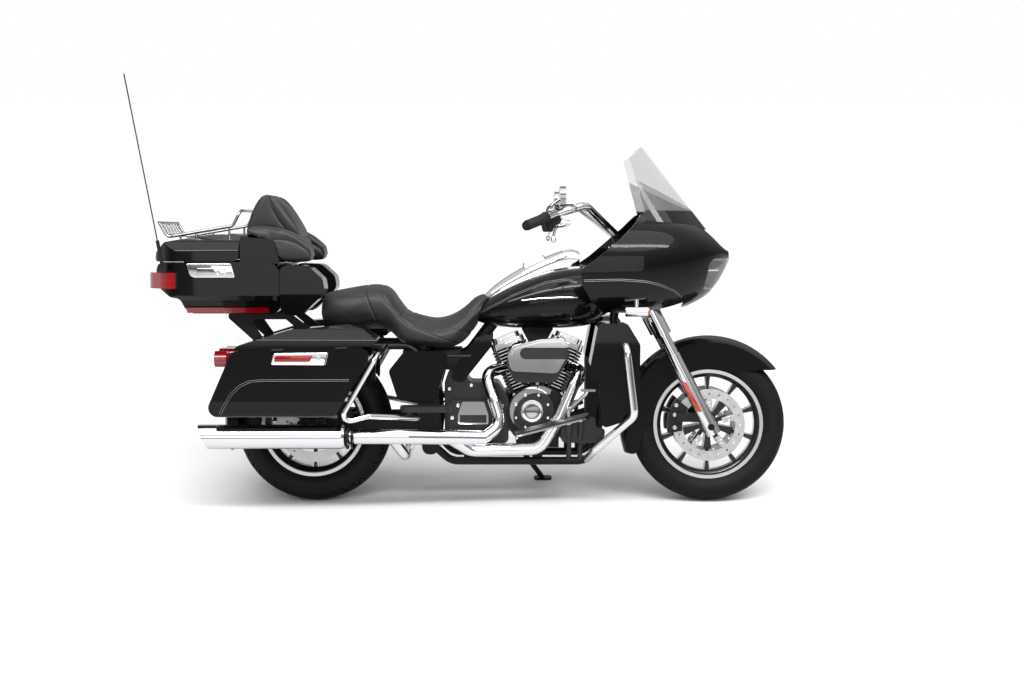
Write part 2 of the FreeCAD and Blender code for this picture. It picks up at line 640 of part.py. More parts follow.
FRONT_SIGNAL_REAR_X = FAIRING_REAR_X + FRONT_SIGNAL_AHEAD
FRONT_SIGNAL_LENGTH = 87.0
FRONT_SIGNAL_Y = 292.0
FRONT_SIGNAL_Z = 798.0
FRONT_SIGNAL_STALK = 8.0

# Engine guard, leg fairings, boards and pedals
GUARD_RADIUS = 16.0
GUARD_BEND = 46.0
GUARD_BACKSET = 507.0
GUARD_ORIGIN = (WHEELBASE - GUARD_BACKSET, 44.0, 190.0)
GUARD_SIZE = (184.0, 316.0, 500.0)
GUARD_SHARES = [
    (0.576, 0.04, 1.0), (0.80, 1.0, 0.95), (0.98, 1.0, 0.40), (0.16, 0.66, 0.10), (0.0, 0.32, 0.0),
]
LEG_FAIRING_BACKSET = 501.0
LEG_FAIRING_ORIGIN = (WHEELBASE - LEG_FAIRING_BACKSET, 172.0, 335.0)
LEG_FAIRING_SIZE = (196.0, 172.0, 418.0)
LEG_FAIRING_WALL = 5.0
LEG_FAIRING_CORNER = 22.0
LEG_FAIRING_SHARES = [
    (0.22, 0.0), (0.60, 0.06), (1.0, 0.34), (1.0, 0.80), (0.74, 1.0), (0.16, 1.0), (0.0, 0.60), (0.20, 0.42),
]
LEG_FAIRING_PLAN_SHARES = [(0.0, 0.0), (0.40, 0.0), (0.78, 0.64), (1.0, 0.72), (1.0, 1.0), (0.0, 1.0)]
BOARD_ORIGIN = (828.0, 205.0, 298.0)
BOARD_SIZE = (306.0, 120.0, 14.0)
BOARD_TILT_DEG = 14.5
BOARD_CORNER = 34.0
BOARD_STRUT_RADIUS = 10.0
BOARD_STRUT_XS = (1046.0, 1092.0)
BOARD_STRUT_OUT = 110.0
BOARD_PLATE_ORIGIN = (1014.0, 190.0, 262.0)
BOARD_PLATE_SIZE = (176.0, 12.0, 122.0)
BOARD_PLATE_CORNER = 12.0
BOARD_PLATE_SHARES = [
    (0.0, 0.10), (0.08, 0.0), (0.86, 0.0), (1.0, 0.24), (1.0, 0.46), (0.80, 0.52), (0.78, 0.90), (0.0, 0.50),
]
REAR_BOARD_ORIGIN = (372.0, 230.0, 398.0)
REAR_BOARD_SIZE = (200.0, 88.0, 22.0)
REAR_BOARD_CORNER = 26.0
REAR_BOARD_ARM = (30.0, 18.0)
PEDAL_RADIUS = 8.0
PEDAL_BEND = 24.0
PEDAL_ORIGIN = (1046.0, 196.0, 280.0)
PEDAL_SIZE = (74.0, 40.0, 200.0)
PEDAL_SHARES = [(0.0, 0.0, 0.0), (0.0, 0.0, 0.56), (0.95, 0.9, 0.94), (1.0, 1.0, 1.0)]
PEDAL_PAD = (58.0, 46.0, 10.0)

# Side stand
STAND_PIVOT = (860.0, 135.0, 190.0)
STAND_AXIS = (-0.279, 0.956, 0.0886)
STAND_FOOT_X = 950.0
STAND_FOOT_Y = 293.0
STAND_FOOT_SIZE = (76.0, 46.0, 9.0)
STAND_FOOT_CORNER = 16.0
STAND_RADIUS = 11.0
STAND_PIN_RADIUS = 8.0
STAND_PIN_LENGTH = 56.0
STAND_BOSS_START = 27.0
STAND_BOSS_LENGTH = 24.0
STAND_BOSS_RADIUS = 18.0

CENTRE = FreeCAD.Vector(0, 0, 0)
X_AXIS = FreeCAD.Vector(1, 0, 0)
Y_AXIS = FreeCAD.Vector(0, 1, 0)
Z_AXIS = FreeCAD.Vector(0, 0, 1)
LEAN_RISE = TYRE_CROWN_RADIUS * (1.0 - math.cos(math.radians(LEAN_DEG)))
STEER_DIRECTION = FreeCAD.Vector(-math.sin(math.radians(RAKE_DEG)), 0, math.cos(math.radians(RAKE_DEG)))
FORK_DIRECTION = FreeCAD.Vector(-math.sin(math.radians(FORK_DEG)), 0, math.cos(math.radians(FORK_DEG)))


def point(x, y, z):
    return FreeCAD.Vector(x, y, z)


def fused(shapes):
    if len(shapes) == 1:
        return shapes[0]
    return shapes[0].multiFuse(shapes[1:]).removeSplitter()


def trimmed(shape, tools):
    for tool in tools:
        shape = shape.cut(tool)
    return shape


def mirrored(shape):
    return shape.mirror(CENTRE, Y_AXIS)


def pair(shape):
    return Part.makeCompound([shape, mirrored(shape)])


def turned(shape, centre, axis, degrees):
    copy = shape.copy()
    copy.rotate(centre, axis, degrees)
    return copy


def moved(shape, x, y, z):
    copy = shape.copy()
    copy.translate(point(x, y, z))
    return copy


def box(origin, size):
    low = [min(origin[axis], origin[axis] + size[axis]) for axis in range(3)]
    return Part.makeBox(abs(size[0]), abs(size[1]), abs(size[2]), point(*low))


def rod(start, end, radius):
    heading = end - start
    return Part.makeCylinder(radius, heading.Length, start, heading)


def across(radius, x, z, y_from, y_to):
    return rod(point(x, y_from, z), point(x, y_to, z), radius)


def in_box(shares, origin, size):
    return [
        point(origin[0] + share[0] * size[0], origin[1] + share[1] * size[1], origin[2] + share[2] * size[2])
        for share in shares
    ]


def flat_outline(shares, start, base, length, height):
    return [(start + share[0] * length, base + share[1] * height) for share in shares]


def inset_outline(outline, insets):
    count = len(outline)
    lines = []
    for index in range(count):
        start = outline[index]
        end = outline[(index + 1) % count]
        run = end[0] - start[0]
        rise = end[1] - start[1]
        length = math.hypot(run, rise)
        shift_run = -rise / length * insets[index]
        shift_rise = run / length * insets[index]
        lines.append((start[0] + shift_run, start[1] + shift_rise, run, rise))
    corners = []
    for index in range(count):
        first = lines[index - 1]
        second = lines[index]
        cross = first[2] * second[3] - first[3] * second[2]
        along = ((second[0] - first[0]) * second[3] - (second[1] - first[1]) * second[2]) / cross
        corners.append((first[0] + first[2] * along, first[1] + first[3] * along))
    return corners


def rounded_wire(points, radius, closed):
    count = len(points)
    corners = []
    for index, corner in enumerate(points):
        at_end = not closed and index in (0, count - 1)
        before = points[index - 1] - corner
        after = points[(index + 1) % count] - corner
        angle = before.getAngle(after)
        if at_end or radius == 0 or math.degrees(angle) > NEARLY_STRAIGHT_DEG:
            corners.append((corner, None, corner))
            continue
        reach = min(radius / math.tan(angle / 2), REACH_SHARE * min(before.Length, after.Length))
        fitted = reach * math.tan(angle / 2)
        before.normalize()
        after.normalize()
        inward = before + after
        inward.normalize()
        middle = corner + inward * (fitted / math.sin(angle / 2) - fitted)
        corners.append((corner + before * reach, middle, corner + after * reach))
    edges = []
    for index in range(count):
        start, middle, end = corners[index]
        if middle is not None:
            edges.append(Part.Arc(start, middle, end).toShape())
        if closed or index < count - 1:
            edges.append(Part.makeLine(end, corners[(index + 1) % count][0]))
    return Part.Wire(edges)


def side_prism(outline, y_from, y_to, corner):
    wire = rounded_wire([point(x, y_from, z) for x, z in outline], corner, True)
    return Part.Face(wire).extrude(point(0, y_to - y_from, 0))


def front_prism(outline, x_from, x_to, corner):
    wire = rounded_wire([point(x_from, y, z) for y, z in outline], corner, True)
    return Part.Face(wire).extrude(point(x_to - x_from, 0, 0))


def plan_prism(outline, z_from, z_to, corner):
    wire = rounded_wire([point(x, y, z_from) for x, y in outline], corner, True)
    return Part.Face(wire).extrude(point(0, 0, z_to - z_from))


def tube(points, radius, bend):
    path = rounded_wire(points, bend, False)
    ring = Part.Wire([Part.makeCircle(radius, points[0], points[1] - points[0])])
    return path.makePipeShell([ring], True, False)


def ring_section(x, low, high, half_width, power):
    middle = (low + high) / 2
    half_height = (high - low) / 2
    points = []
    for step in range(SECTION_POINTS):
        angle = math.tau * step / SECTION_POINTS
        sideways = math.cos(angle)
        upward = math.sin(angle)
        y = half_width * math.copysign(abs(sideways) ** (2 / power), sideways)
        z = middle + half_height * math.copysign(abs(upward) ** (2 / power), upward)
        points.append(point(x, y, z))
    curve = Part.BSplineCurve()
    curve.interpolate(points, PeriodicFlag=True)
    return Part.Wire([curve.toShape()])


def body_loft(shares, rear_x, length, bottom, height, half_width, power, inset):
    wires = []
    for index, (along, low, high, width) in enumerate(shares):
        x = rear_x + along * length
        if index == len(shares) - 1:
            x -= inset
        low_z = bottom + low * height + inset
        high_z = bottom + high * height - inset
        wires.append(ring_section(x, low_z, high_z, half_width * width - inset, power))
    return Part.makeLoft(wires, True, False)


def spun(outline):
    wire = Part.makePolygon([point(0, y, radius) for y, radius in outline + outline[:1]])
    return Part.Face(wire).revolve(CENTRE, Y_AXIS, 360)


def steer_point(z):
    return point(WHEELBASE + TRAIL - z * math.tan(math.radians(RAKE_DEG)), 0, z)


def fork_point(z, y):
    return point(WHEELBASE - (z - TYRE_RADIUS) * math.tan(math.radians(FORK_DEG)), y, z)


def tyre(rim_radius, rim_half, width, shoulder_half):
    seat = rim_radius - RIM_LIP
    bead = rim_half - RIM_FLANGE
    crown_centre = TYRE_RADIUS - TYRE_CROWN_RADIUS
    shoulder = crown_centre + math.sqrt(TYRE_CROWN_RADIUS ** 2 - shoulder_half ** 2)
    inner_crown = TYRE_CROWN_RADIUS - TREAD_DEPTH
    inner_half = shoulder_half - TYRE_WALL
    inner_shoulder = crown_centre + math.sqrt(inner_crown ** 2 - inner_half ** 2)
    bulge = (rim_radius + shoulder) / 2
    half = width / 2
    inner_bead = bead - BEAD_WIDTH

    def at(y, radius):
        return point(0, y, radius)

    edges = [
        Part.makeLine(at(bead, seat), at(bead, rim_radius)),
        Part.Arc(at(bead, rim_radius), at(half, bulge), at(shoulder_half, shoulder)).toShape(),
        Part.Arc(at(shoulder_half, shoulder), at(0, TYRE_RADIUS), at(-shoulder_half, shoulder)).toShape(),
        Part.Arc(at(-shoulder_half, shoulder), at(-half, bulge), at(-bead, rim_radius)).toShape(),
        Part.makeLine(at(-bead, rim_radius), at(-bead, seat)),
        Part.makeLine(at(-bead, seat), at(-inner_bead, seat)),
        Part.makeLine(at(-inner_bead, seat), at(-inner_bead, rim_radius)),
        Part.Arc(
            at(-inner_bead, rim_radius), at(TYRE_WALL - half, bulge), at(-inner_half, inner_shoulder)
        ).toShape(),
        Part.Arc(
            at(-inner_half, inner_shoulder), at(0, crown_centre + inner_crown), at(inner_half, inner_shoulder)
        ).toShape(),
        Part.Arc(at(inner_half, inner_shoulder), at(half - TYRE_WALL, bulge),
        at(inner_bead, rim_radius)).toShape(),
        Part.makeLine(at(inner_bead, rim_radius), at(inner_bead, seat)),
        Part.makeLine(at(inner_bead, seat), at(bead, seat)),
    ]
    return Part.Face(Part.Wire(edges)).revolve(CENTRE, Y_AXIS, 360)


def rim(rim_radius, rim_half):
    seat = rim_radius - RIM_LIP
    well = seat - RIM_WELL_DEPTH
    slope = RIM_WELL_HALF + RIM_SLOPE
    bead = rim_half - RIM_FLANGE
    outer = [
        (-rim_half, rim_radius), (-bead, rim_radius), (-bead, seat), (-slope, seat), (-RIM_WELL_HALF, well),
        (RIM_WELL_HALF, well), (slope, seat), (bead, seat), (bead, rim_radius), (rim_half, rim_radius),
    ]
    inner = [
        (rim_half, seat - RIM_WALL), (slope, seat - RIM_WALL), (RIM_WELL_HALF, well - RIM_WALL),
        (-RIM_WELL_HALF, well - RIM_WALL), (-slope, seat - RIM_WALL), (-rim_half, seat - RIM_WALL),
    ]
    return spun(outer + inner)


def cast_wheel(rim_radius, rim_half, hub_radius, hub_half, disc_faces):
    reach = rim_radius - RIM_LIP - RIM_WELL_DEPTH - RIM_WALL + SPOKE_BITE
    root = hub_radius - SPOKE_BITE
    waist = root + (reach - root) * SPOKE_WAIST_SHARE
    outline = [
        (-SPOKE_HUB_HALF, root), (SPOKE_HUB_HALF, root), (SPOKE_WAIST_HALF, waist), (SPOKE_RIM_HALF, reach),
        (-SPOKE_RIM_HALF, reach), (-SPOKE_WAIST_HALF, waist),
    ]
    spoke = side_prism(outline, -SPOKE_HALF_THICK, SPOKE_HALF_THICK, 0)
    pieces = [rim(rim_radius, rim_half), across(hub_radius, 0, 0, -hub_half, hub_half)]
    for index in range(SPOKE_COUNT):
        pieces.append(turned(spoke, CENTRE, Y_AXIS, index * 360 / SPOKE_COUNT))
    petal_outline = [
        (-PETAL_HUB_HALF, root), (PETAL_HUB_HALF, root), (PETAL_TIP_HALF, PETAL_REACH),
        (-PETAL_TIP_HALF, PETAL_REACH),
    ]
    petal = side_prism(petal_outline, -PETAL_HALF_THICK, PETAL_HALF_THICK, 0)
    for index in range(PETAL_COUNT):
        pieces.append(turned(petal, CENTRE, Y_AXIS, (index + 0.5) * 360 / PETAL_COUNT))
    for face in disc_faces:
        boss = across(DISC_BOSS_RADIUS, 0, DISC_BOSS_PITCH_RADIUS, 0, face)
        for index in range(DISC_LUGS):
            pieces.append(turned(boss, CENTRE, Y_AXIS, index * 360 / DISC_LUGS))
    bore = across(AXLE_RADIUS + RUNNING_GAP, 0, 0, -hub_half - OVERRUN, hub_half + OVERRUN)
    return fused(pieces).cut(bore)


def brake_disc(inner_face):
    outer_face = inner_face + DISC_THICK
    lug = across(DISC_LUG_RADIUS, 0, DISC_LUG_PITCH_RADIUS, inner_face, outer_face)
    hole = across(DISC_HOLE_RADIUS, 0, DISC_HOLE_PITCH_RADIUS, inner_face, outer_face)
    ring = across(DISC_RADIUS, 0, 0, inner_face, outer_face)
    ring = ring.cut(across(DISC_INNER_RADIUS, 0, 0, inner_face, outer_face))
    arm_outline = [
        (-DISC_ARM_HALF, DISC_ARM_START), (DISC_ARM_HALF, DISC_ARM_START),
        (DISC_ARM_HALF, DISC_LUG_PITCH_RADIUS), (-DISC_ARM_HALF, DISC_LUG_PITCH_RADIUS),
    ]
    lug = fused([lug, side_prism(arm_outline, inner_face, outer_face, 0)])
    lugs = [turned(lug, CENTRE, Y_AXIS, index * 360 / DISC_LUGS) for index in range(DISC_LUGS)]
    holes = [turned(hole, CENTRE, Y_AXIS, index * 360 / DISC_HOLES) for index in range(DISC_HOLES)]
    return fused([ring] + lugs).cut(Part.makeCompound(holes))


def caliper(disc_face, middle_deg, arm_reach):
    inner_y = disc_face - CALIPER_SLOT - CALIPER_SIDE
    outer_y = disc_face + DISC_THICK + CALIPER_SLOT + CALIPER_SIDE
    body = across(CALIPER_OUTER_RADIUS, 0, 0, inner_y, outer_y)
    body = body.cut(across(CALIPER_INNER_RADIUS, 0, 0, inner_y, outer_y))
    far = CALIPER_OUTER_RADIUS * 2
    wedge = [(0, 0)]
    for degrees in (middle_deg - CALIPER_HALF_DEG, middle_deg + CALIPER_HALF_DEG):
        wedge.append((far * math.cos(math.radians(degrees)), far * math.sin(math.radians(degrees))))
    body = body.common(side_prism(wedge, inner_y, outer_y, 0))
    slot = across(
        DISC_RADIUS + CALIPER_RIM_GAP, 0, 0, disc_face - CALIPER_SLOT, disc_face + DISC_THICK + CALIPER_SLOT
    )
    body = body.cut(slot)
    middle = (CALIPER_INNER_RADIUS + CALIPER_OUTER_RADIUS) / 2
    arm_x = middle * math.cos(math.radians(middle_deg))
    arm_z = middle * math.sin(math.radians(middle_deg))
    arm = box(
        (arm_x, outer_y - CALIPER_SIDE, arm_z - CALIPER_ARM_HALF), (
            arm_reach, CALIPER_ARM_WIDTH, 2 * CALIPER_ARM_HALF
        )
    )
    return body, arm


def at_front(shape):
    return moved(shape, WHEELBASE, 0, TYRE_RADIUS)


def at_rear(shape):
    return moved(shape, 0, 0, TYRE_RADIUS)


def front_tyre():
    return at_front(tyre(FRONT_RIM_RADIUS, FRONT_RIM_HALF, FRONT_TYRE_WIDTH, FRONT_SHOULDER_HALF))


def rear_tyre():
    return at_rear(tyre(REAR_RIM_RADIUS, REAR_RIM_HALF, REAR_TYRE_WIDTH, REAR_SHOULDER_HALF))


def front_wheel():
    faces = (-FRONT_DISC_Y, FRONT_DISC_Y)
    return at_front(cast_wheel(FRONT_RIM_RADIUS, FRONT_RIM_HALF, FRONT_HUB_RADIUS, FRONT_HUB_HALF, faces))


def rear_wheel():
    return at_rear(
        cast_wheel(REAR_RIM_RADIUS, REAR_RIM_HALF, REAR_HUB_RADIUS, REAR_HUB_HALF, (-REAR_DISC_Y,))
    )


def front_discs():
    return at_front(pair(brake_disc(FRONT_DISC_Y)))


def rear_disc():
    return at_rear(mirrored(brake_disc(REAR_DISC_Y)))


def rear_pulley():
    end = REAR_HUB_HALF + PULLEY_WIDTH
    web_end = REAR_HUB_HALF + PULLEY_WEB
    bore = AXLE_RADIUS + RUNNING_GAP
    rim_inner = PULLEY_RADIUS - PULLEY_RIM
    return at_rear(spun([
        (REAR_HUB_HALF, bore), (web_end, bore), (web_end, rim_inner), (end, rim_inner), (end, PULLEY_RADIUS),
        (REAR_HUB_HALF, PULLEY_RADIUS),
    ]))


def drive_belt():
    start = REAR_HUB_HALF + (PULLEY_WIDTH - BELT_WIDTH) / 2
    end = start + BELT_WIDTH

    def loop(extra):
        rear = PULLEY_RADIUS + BELT_GAP + extra
        front = DRIVE_PULLEY_RADIUS + extra
        span = math.hypot(DRIVE_PULLEY_X, DRIVE_PULLEY_Z - TYRE_RADIUS)
        slope = math.atan2(DRIVE_PULLEY_Z - TYRE_RADIUS, DRIVE_PULLEY_X)
        spread = math.acos((rear - front) / span)
        outline = []
        for sign in (1, -1):
            angle = slope + sign * spread
            near = (rear * math.cos(angle), TYRE_RADIUS + rear * math.sin(angle))
            far = (DRIVE_PULLEY_X + front * math.cos(angle), DRIVE_PULLEY_Z + front * math.sin(angle))
            outline += [near, far] if sign > 0 else [far, near]
        middle = side_prism(outline, start, end, 0)
        rear_round = across(rear, 0, TYRE_RADIUS, start, end)
        front_round = across(front, DRIVE_PULLEY_X, DRIVE_PULLEY_Z, start, end)
        return fused([middle, rear_round, front_round])

    return loop(BELT_THICK).cut(loop(0))


def fork_leg_blanks():
    axle = point(WHEELBASE, LEG_SPACING_HALF, TYRE_RADIUS)
    top = fork_point(UPPER_YOKE_Z + YOKE_THICK / 2, LEG_SPACING_HALF)
    cover_end = fork_point(LOWER_YOKE_Z, LEG_SPACING_HALF)
    slider = rod(axle - FORK_DIRECTION * SLIDER_FOOT, axle + FORK_DIRECTION * SLIDER_LENGTH, SLIDER_RADIUS)
    inner = rod(axle, top, FORK_TUBE_RADIUS)
    cover = rod(cover_end - FORK_DIRECTION * FORK_COVER_LENGTH, cover_end, FORK_COVER_RADIUS)
    return fused([slider, inner, cover])


def fork_legs():
    leg = fork_leg_blanks()
    axle = across(AXLE_RADIUS, WHEELBASE, TYRE_RADIUS, -LEG_SPACING_HALF, LEG_SPACING_HALF)
    return fused([leg, mirrored(leg), axle])


def yoke(z):
    stem = steer_point(z)
    thick = STEER_DIRECTION * YOKE_THICK
    base = stem - STEER_DIRECTION * (YOKE_THICK / 2)
    forward = Y_AXIS.cross(STEER_DIRECTION)
    setback = forward * ((fork_point(z, 0).x - stem.x) * math.cos(math.radians(RAKE_DEG)))
    pieces = [Part.makeCylinder(YOKE_STEM_RADIUS, YOKE_THICK, base, STEER_DIRECTION)]
    for side in (-LEG_SPACING_HALF, LEG_SPACING_HALF):
        leg_base = base + setback + Y_AXIS * side
        pieces.append(Part.makeCylinder(YOKE_LEG_RADIUS, YOKE_THICK, leg_base, STEER_DIRECTION))
    half = forward * (YOKE_BRIDGE / 2)
    across_half = Y_AXIS * LEG_SPACING_HALF
    middle = base + setback
    corners = [
        middle - half - across_half, middle + half - across_half, middle + half + across_half,
        middle - half + across_half,
    ]
    pieces.append(Part.Face(Part.makePolygon(corners + corners[:1])).extrude(thick))
    return fused(pieces)


def fork_yokes(legs, bar):
    stem = rod(steer_point(LOWER_YOKE_Z), steer_point(UPPER_YOKE_Z), STEM_RADIUS)
    pieces = [yoke(LOWER_YOKE_Z), yoke(UPPER_YOKE_Z), stem]
    for side in (-RISER_HALF_SPACING, RISER_HALF_SPACING):
        top = point(BAR_ORIGIN[0], side, BAR_ORIGIN[2])
        drop = (BAR_ORIGIN[2] - UPPER_YOKE_Z) / STEER_DIRECTION.z
        pieces.append(rod(top - STEER_DIRECTION * drop, top, RISER_RADIUS))
    return trimmed(fused(pieces), [legs, bar])


def bar_points():
    half = in_box(BAR_SHARES, BAR_ORIGIN, BAR_SIZE)
    other = [point(corner.x, -corner.y, corner.z) for corner in half[1:]]
    return list(reversed(other)) + half[1:]


def handlebar():
    return tube(bar_points(), BAR_RADIUS, BAR_BEND)


def bar_end():
    last = bar_points()[-1]
    heading = last - bar_points()[-2]
    heading.normalize()
    return last, heading


def grips(bar):
    last, heading = bar_end()
    return pair(rod(last - heading * GRIP_LENGTH, last, GRIP_RADIUS).cut(bar))


def hand_controls(bar):
    last, heading = bar_end()
    end = last - heading * (GRIP_LENGTH + SWITCH_GAP)
    housing = rod(end - heading * SWITCH_LENGTH, end, SWITCH_RADIUS)
    forward = heading.cross(Z_AXIS)
    forward.normalize()
    start = end - heading * (SWITCH_LENGTH / 2)
    lever = tube(
        [
            start, start + forward * LEVER_STAND_OFF, last + forward * LEVER_STAND_OFF
        ], LEVER_RADIUS, LEVER_STAND_OFF / 2
    )
    return pair(fused([housing, lever]).cut(bar))


def mirror_heads(controls):
    last, heading = bar_end()
    foot = last - heading * (GRIP_LENGTH + SWITCH_GAP + SWITCH_LENGTH / 2)
    low_y = MIRROR_CENTRE[1] - MIRROR_SIZE[1] / 2
    low_z = MIRROR_CENTRE[2] - MIRROR_SIZE[2] / 2
    outline = [
        (low_y, low_z), (low_y + MIRROR_SIZE[1], low_z), (low_y + MIRROR_SIZE[1], low_z + MIRROR_SIZE[2]),
        (low_y, low_z + MIRROR_SIZE[2]),
    ]
    start_x = MIRROR_CENTRE[0] - MIRROR_SIZE[0] / 2
    head = front_prism(outline, start_x, start_x + MIRROR_SIZE[0], MIRROR_CORNER)
    stem = tube(
        [foot, foot + Z_AXIS * SWITCH_LENGTH,
        point(MIRROR_CENTRE[0], low_y + MIRROR_CORNER, MIRROR_CENTRE[2])],
        MIRROR_STEM_RADIUS, SWITCH_RADIUS,
    )
    return trimmed(pair(fused([head, stem])), controls)


def wheel_arch(radius, half_width, skirt_radius):
    shoulder = radius - FENDER_CROWN_DROP
    inner_half = half_width - FENDER_THICK
    inner_shoulder = shoulder - FENDER_THICK
    edges = [
        Part.makeLine(point(0, half_width, skirt_radius), point(0, half_width, shoulder)),
        Part.Arc(point(0, half_width, shoulder), point(0, 0, radius),
        point(0, -half_width, shoulder)).toShape(),
        Part.makeLine(point(0, -half_width, shoulder), point(0, -half_width, skirt_radius)),
        Part.makeLine(point(0, -half_width, skirt_radius), point(0, -inner_half, skirt_radius)),
        Part.makeLine(point(0, -inner_half, skirt_radius), point(0, -inner_half, inner_shoulder)),
        Part.Arc(
            point(0, -inner_half, inner_shoulder), point(0, 0, radius - FENDER_THICK), point(
                0, inner_half, inner_shoulder
            )
        ).toShape(),
        Part.makeLine(point(0, inner_half, inner_shoulder), point(0, inner_half, skirt_radius)),
        Part.makeLine(point(0, inner_half, skirt_radius), point(0, half_width, skirt_radius)),
    ]
    return Part.Face(Part.Wire(edges)).revolve(CENTRE, Y_AXIS, 360)


def kept_arch(arch, shares, radius):
    outline = [(x * radius, z * radius) for x, z in shares]
    keep = side_prism(outline, -OVERRUN - REAR_FENDER_HALF, OVERRUN + REAR_FENDER_HALF, FENDER_CORNER)
    return arch.common(keep)


def front_fender(legs):
    arch = wheel_arch(FRONT_FENDER_RADIUS, FRONT_FENDER_HALF, FRONT_SKIRT_RADIUS)
    shell = at_front(kept_arch(arch, FRONT_FENDER_SHARES, FRONT_FENDER_RADIUS))
    axle = point(WHEELBASE, 0, TYRE_RADIUS)
    studs = []
    for share in FENDER_STUD_SHARES:
        spot = axle + FORK_DIRECTION * (SLIDER_LENGTH * share)
        for side in (-1, 1):
            start = side * (FRONT_FENDER_HALF - FENDER_THICK / 2)
            studs.append(across(FENDER_STUD_RADIUS, spot.x, spot.z, start, side * LEG_SPACING_HALF))
    return fused([shell] + studs).cut(legs)


def front_calipers(legs):
    body, arm = caliper(FRONT_DISC_Y, FRONT_CALIPER_DEG, CALIPER_OUTER_RADIUS - CALIPER_ARM_WIDTH)
    return at_front(pair(fused([body, arm]))).cut(legs)


def rear_caliper(arms):
    body, arm = caliper(REAR_DISC_Y, REAR_CALIPER_DEG, CALIPER_ARM_WIDTH)
    return at_rear(mirrored(fused([body, moved(arm, 0, 0, -CALIPER_ARM_WIDTH * 2)]))).cut(arms)


def rear_fender():
    arch = wheel_arch(REAR_FENDER_RADIUS, REAR_FENDER_HALF, REAR_SKIRT_RADIUS)
    return moved(kept_arch(arch, REAR_FENDER_SHARES, REAR_FENDER_RADIUS), 0, 0, REAR_FENDER_Z)


def crankcase():
    centre = point(CRANK_X, 0, CRANK_Z)
    pieces = [
        across(CRANKCASE_RADIUS, CRANK_X, CRANK_Z, -CRANKCASE_HALF, CRANKCASE_HALF),
        box(
            (CRANK_X - SUMP_HALF_LENGTH, -SUMP_HALF_WIDTH, SUMP_BOTTOM),
            (2 * SUMP_HALF_LENGTH, 2 * SUMP_HALF_WIDTH, CRANK_Z - SUMP_BOTTOM),
        ),
    ]
    for lean in (-ENGINE_V_DEG, ENGINE_V_DEG):
        outline = [
            (CRANK_X - DECK_HALF_LENGTH, -DECK_HALF_WIDTH), (CRANK_X + DECK_HALF_LENGTH, -DECK_HALF_WIDTH),
            (CRANK_X + DECK_HALF_LENGTH, DECK_HALF_WIDTH), (CRANK_X - DECK_HALF_LENGTH, DECK_HALF_WIDTH),
        ]
        deck = plan_prism(outline, CRANK_Z + DECK_START, CRANK_Z + DECK_END, DECK_CORNER)
        pieces.append(turned(deck, centre, Y_AXIS, lean))
    return fused(pieces)


def rounded_block(half_length, half_width, z_from, z_to, corner):
    outline = [
        (CRANK_X - half_length, -half_width), (CRANK_X + half_length, -half_width),
        (CRANK_X + half_length, half_width), (CRANK_X - half_length, half_width),
    ]
    return plan_prism(outline, CRANK_Z + z_from, CRANK_Z + z_to, corner)


def own_half(shape, lean):
    reach = OVERRUN * 10
    side = math.copysign(1, lean)
    start = CRANK_X + side * CYLINDER_SPLIT
    return shape.common(box((start, -reach, 0), (side * reach, 2 * reach, 2 * reach)))


def cylinder(lean, case):
    centre = point(CRANK_X, 0, CRANK_Z)
    pieces = [
        Part.makeCylinder(
            BARREL_RADIUS, CYLINDER_TOP - DECK_END, point(CRANK_X, 0, CRANK_Z + DECK_END), Z_AXIS
        )
    ]
    for index in range(FIN_COUNT):
        start = FIN_START + index * FIN_PITCH
        pieces.append(rounded_block(FIN_HALF_LENGTH, FIN_HALF_WIDTH, start, start + FIN_THICK, FIN_CORNER))
    stack = turned(fused(pieces), centre, Y_AXIS, lean)
    return own_half(stack, lean).cut(case)


def rocker_box(lean):
    centre = point(CRANK_X, 0, CRANK_Z)
    step = CYLINDER_TOP + ROCKER_HEIGHT
    low = rounded_block(ROCKER_HALF_LENGTH, ROCKER_HALF_WIDTH, CYLINDER_TOP, step, ROCKER_CORNER)
    high = rounded_block(
 
            
                ROCKER_HALF_LENGTH - ROCKER_STEP, ROCKER_HALF_WIDTH - ROCKER_STEP, step, step + ROCKER_CAP_HEIGHT, ROCKER_CORNER
    )
    toward = -math.copysign(1, lean)
    block = box(
        (CRANK_X + toward * PUSHROD_OFFSET - PUSHROD_BLOCK_HALF, PUSHROD_Y - PUSHROD_RADIUS * 2,
        CRANK_Z + CYLINDER_TOP),
        (2 * PUSHROD_BLOCK_HALF, PUSHROD_BLOCK_WIDTH, PUSHROD_BLOCK_HEIGHT),
    )
    return own_half(turned(fused([low, high, block]), centre, Y_AXIS, lean), lean)


def rocker_covers():
    return Part.makeCompound([rocker_box(-ENGINE_V_DEG), rocker_box(ENGINE_V_DEG)])


def cam_cover(case):
    inner = -CRANKCASE_HALF
    middle = inner - CAM_COVER_THICK
    cover = fused([
        across(CAM_COVER_RADIUS, CAM_COVER_X, CAM_COVER_Z, inner, middle),
        across(TIMER_RADIUS, CAM_COVER_X, CAM_COVER_Z, middle, middle - TIMER_THICK),
    ])
    return cover.cut(case)


def lifter_block(lean, case):
    toward = -math.copysign(1, lean)
    block = box(
        (CRANK_X + toward * PUSHROD_OFFSET - LIFTER_HALF_LENGTH, -DECK_HALF_WIDTH - LIFTER_WIDTH,
        CRANK_Z + PUSHROD_START),
        (2 * LIFTER_HALF_LENGTH, LIFTER_WIDTH, LIFTER_HEIGHT),
    )
    return own_half(turned(block, point(CRANK_X, 0, CRANK_Z), Y_AXIS, lean), lean).cut(case)


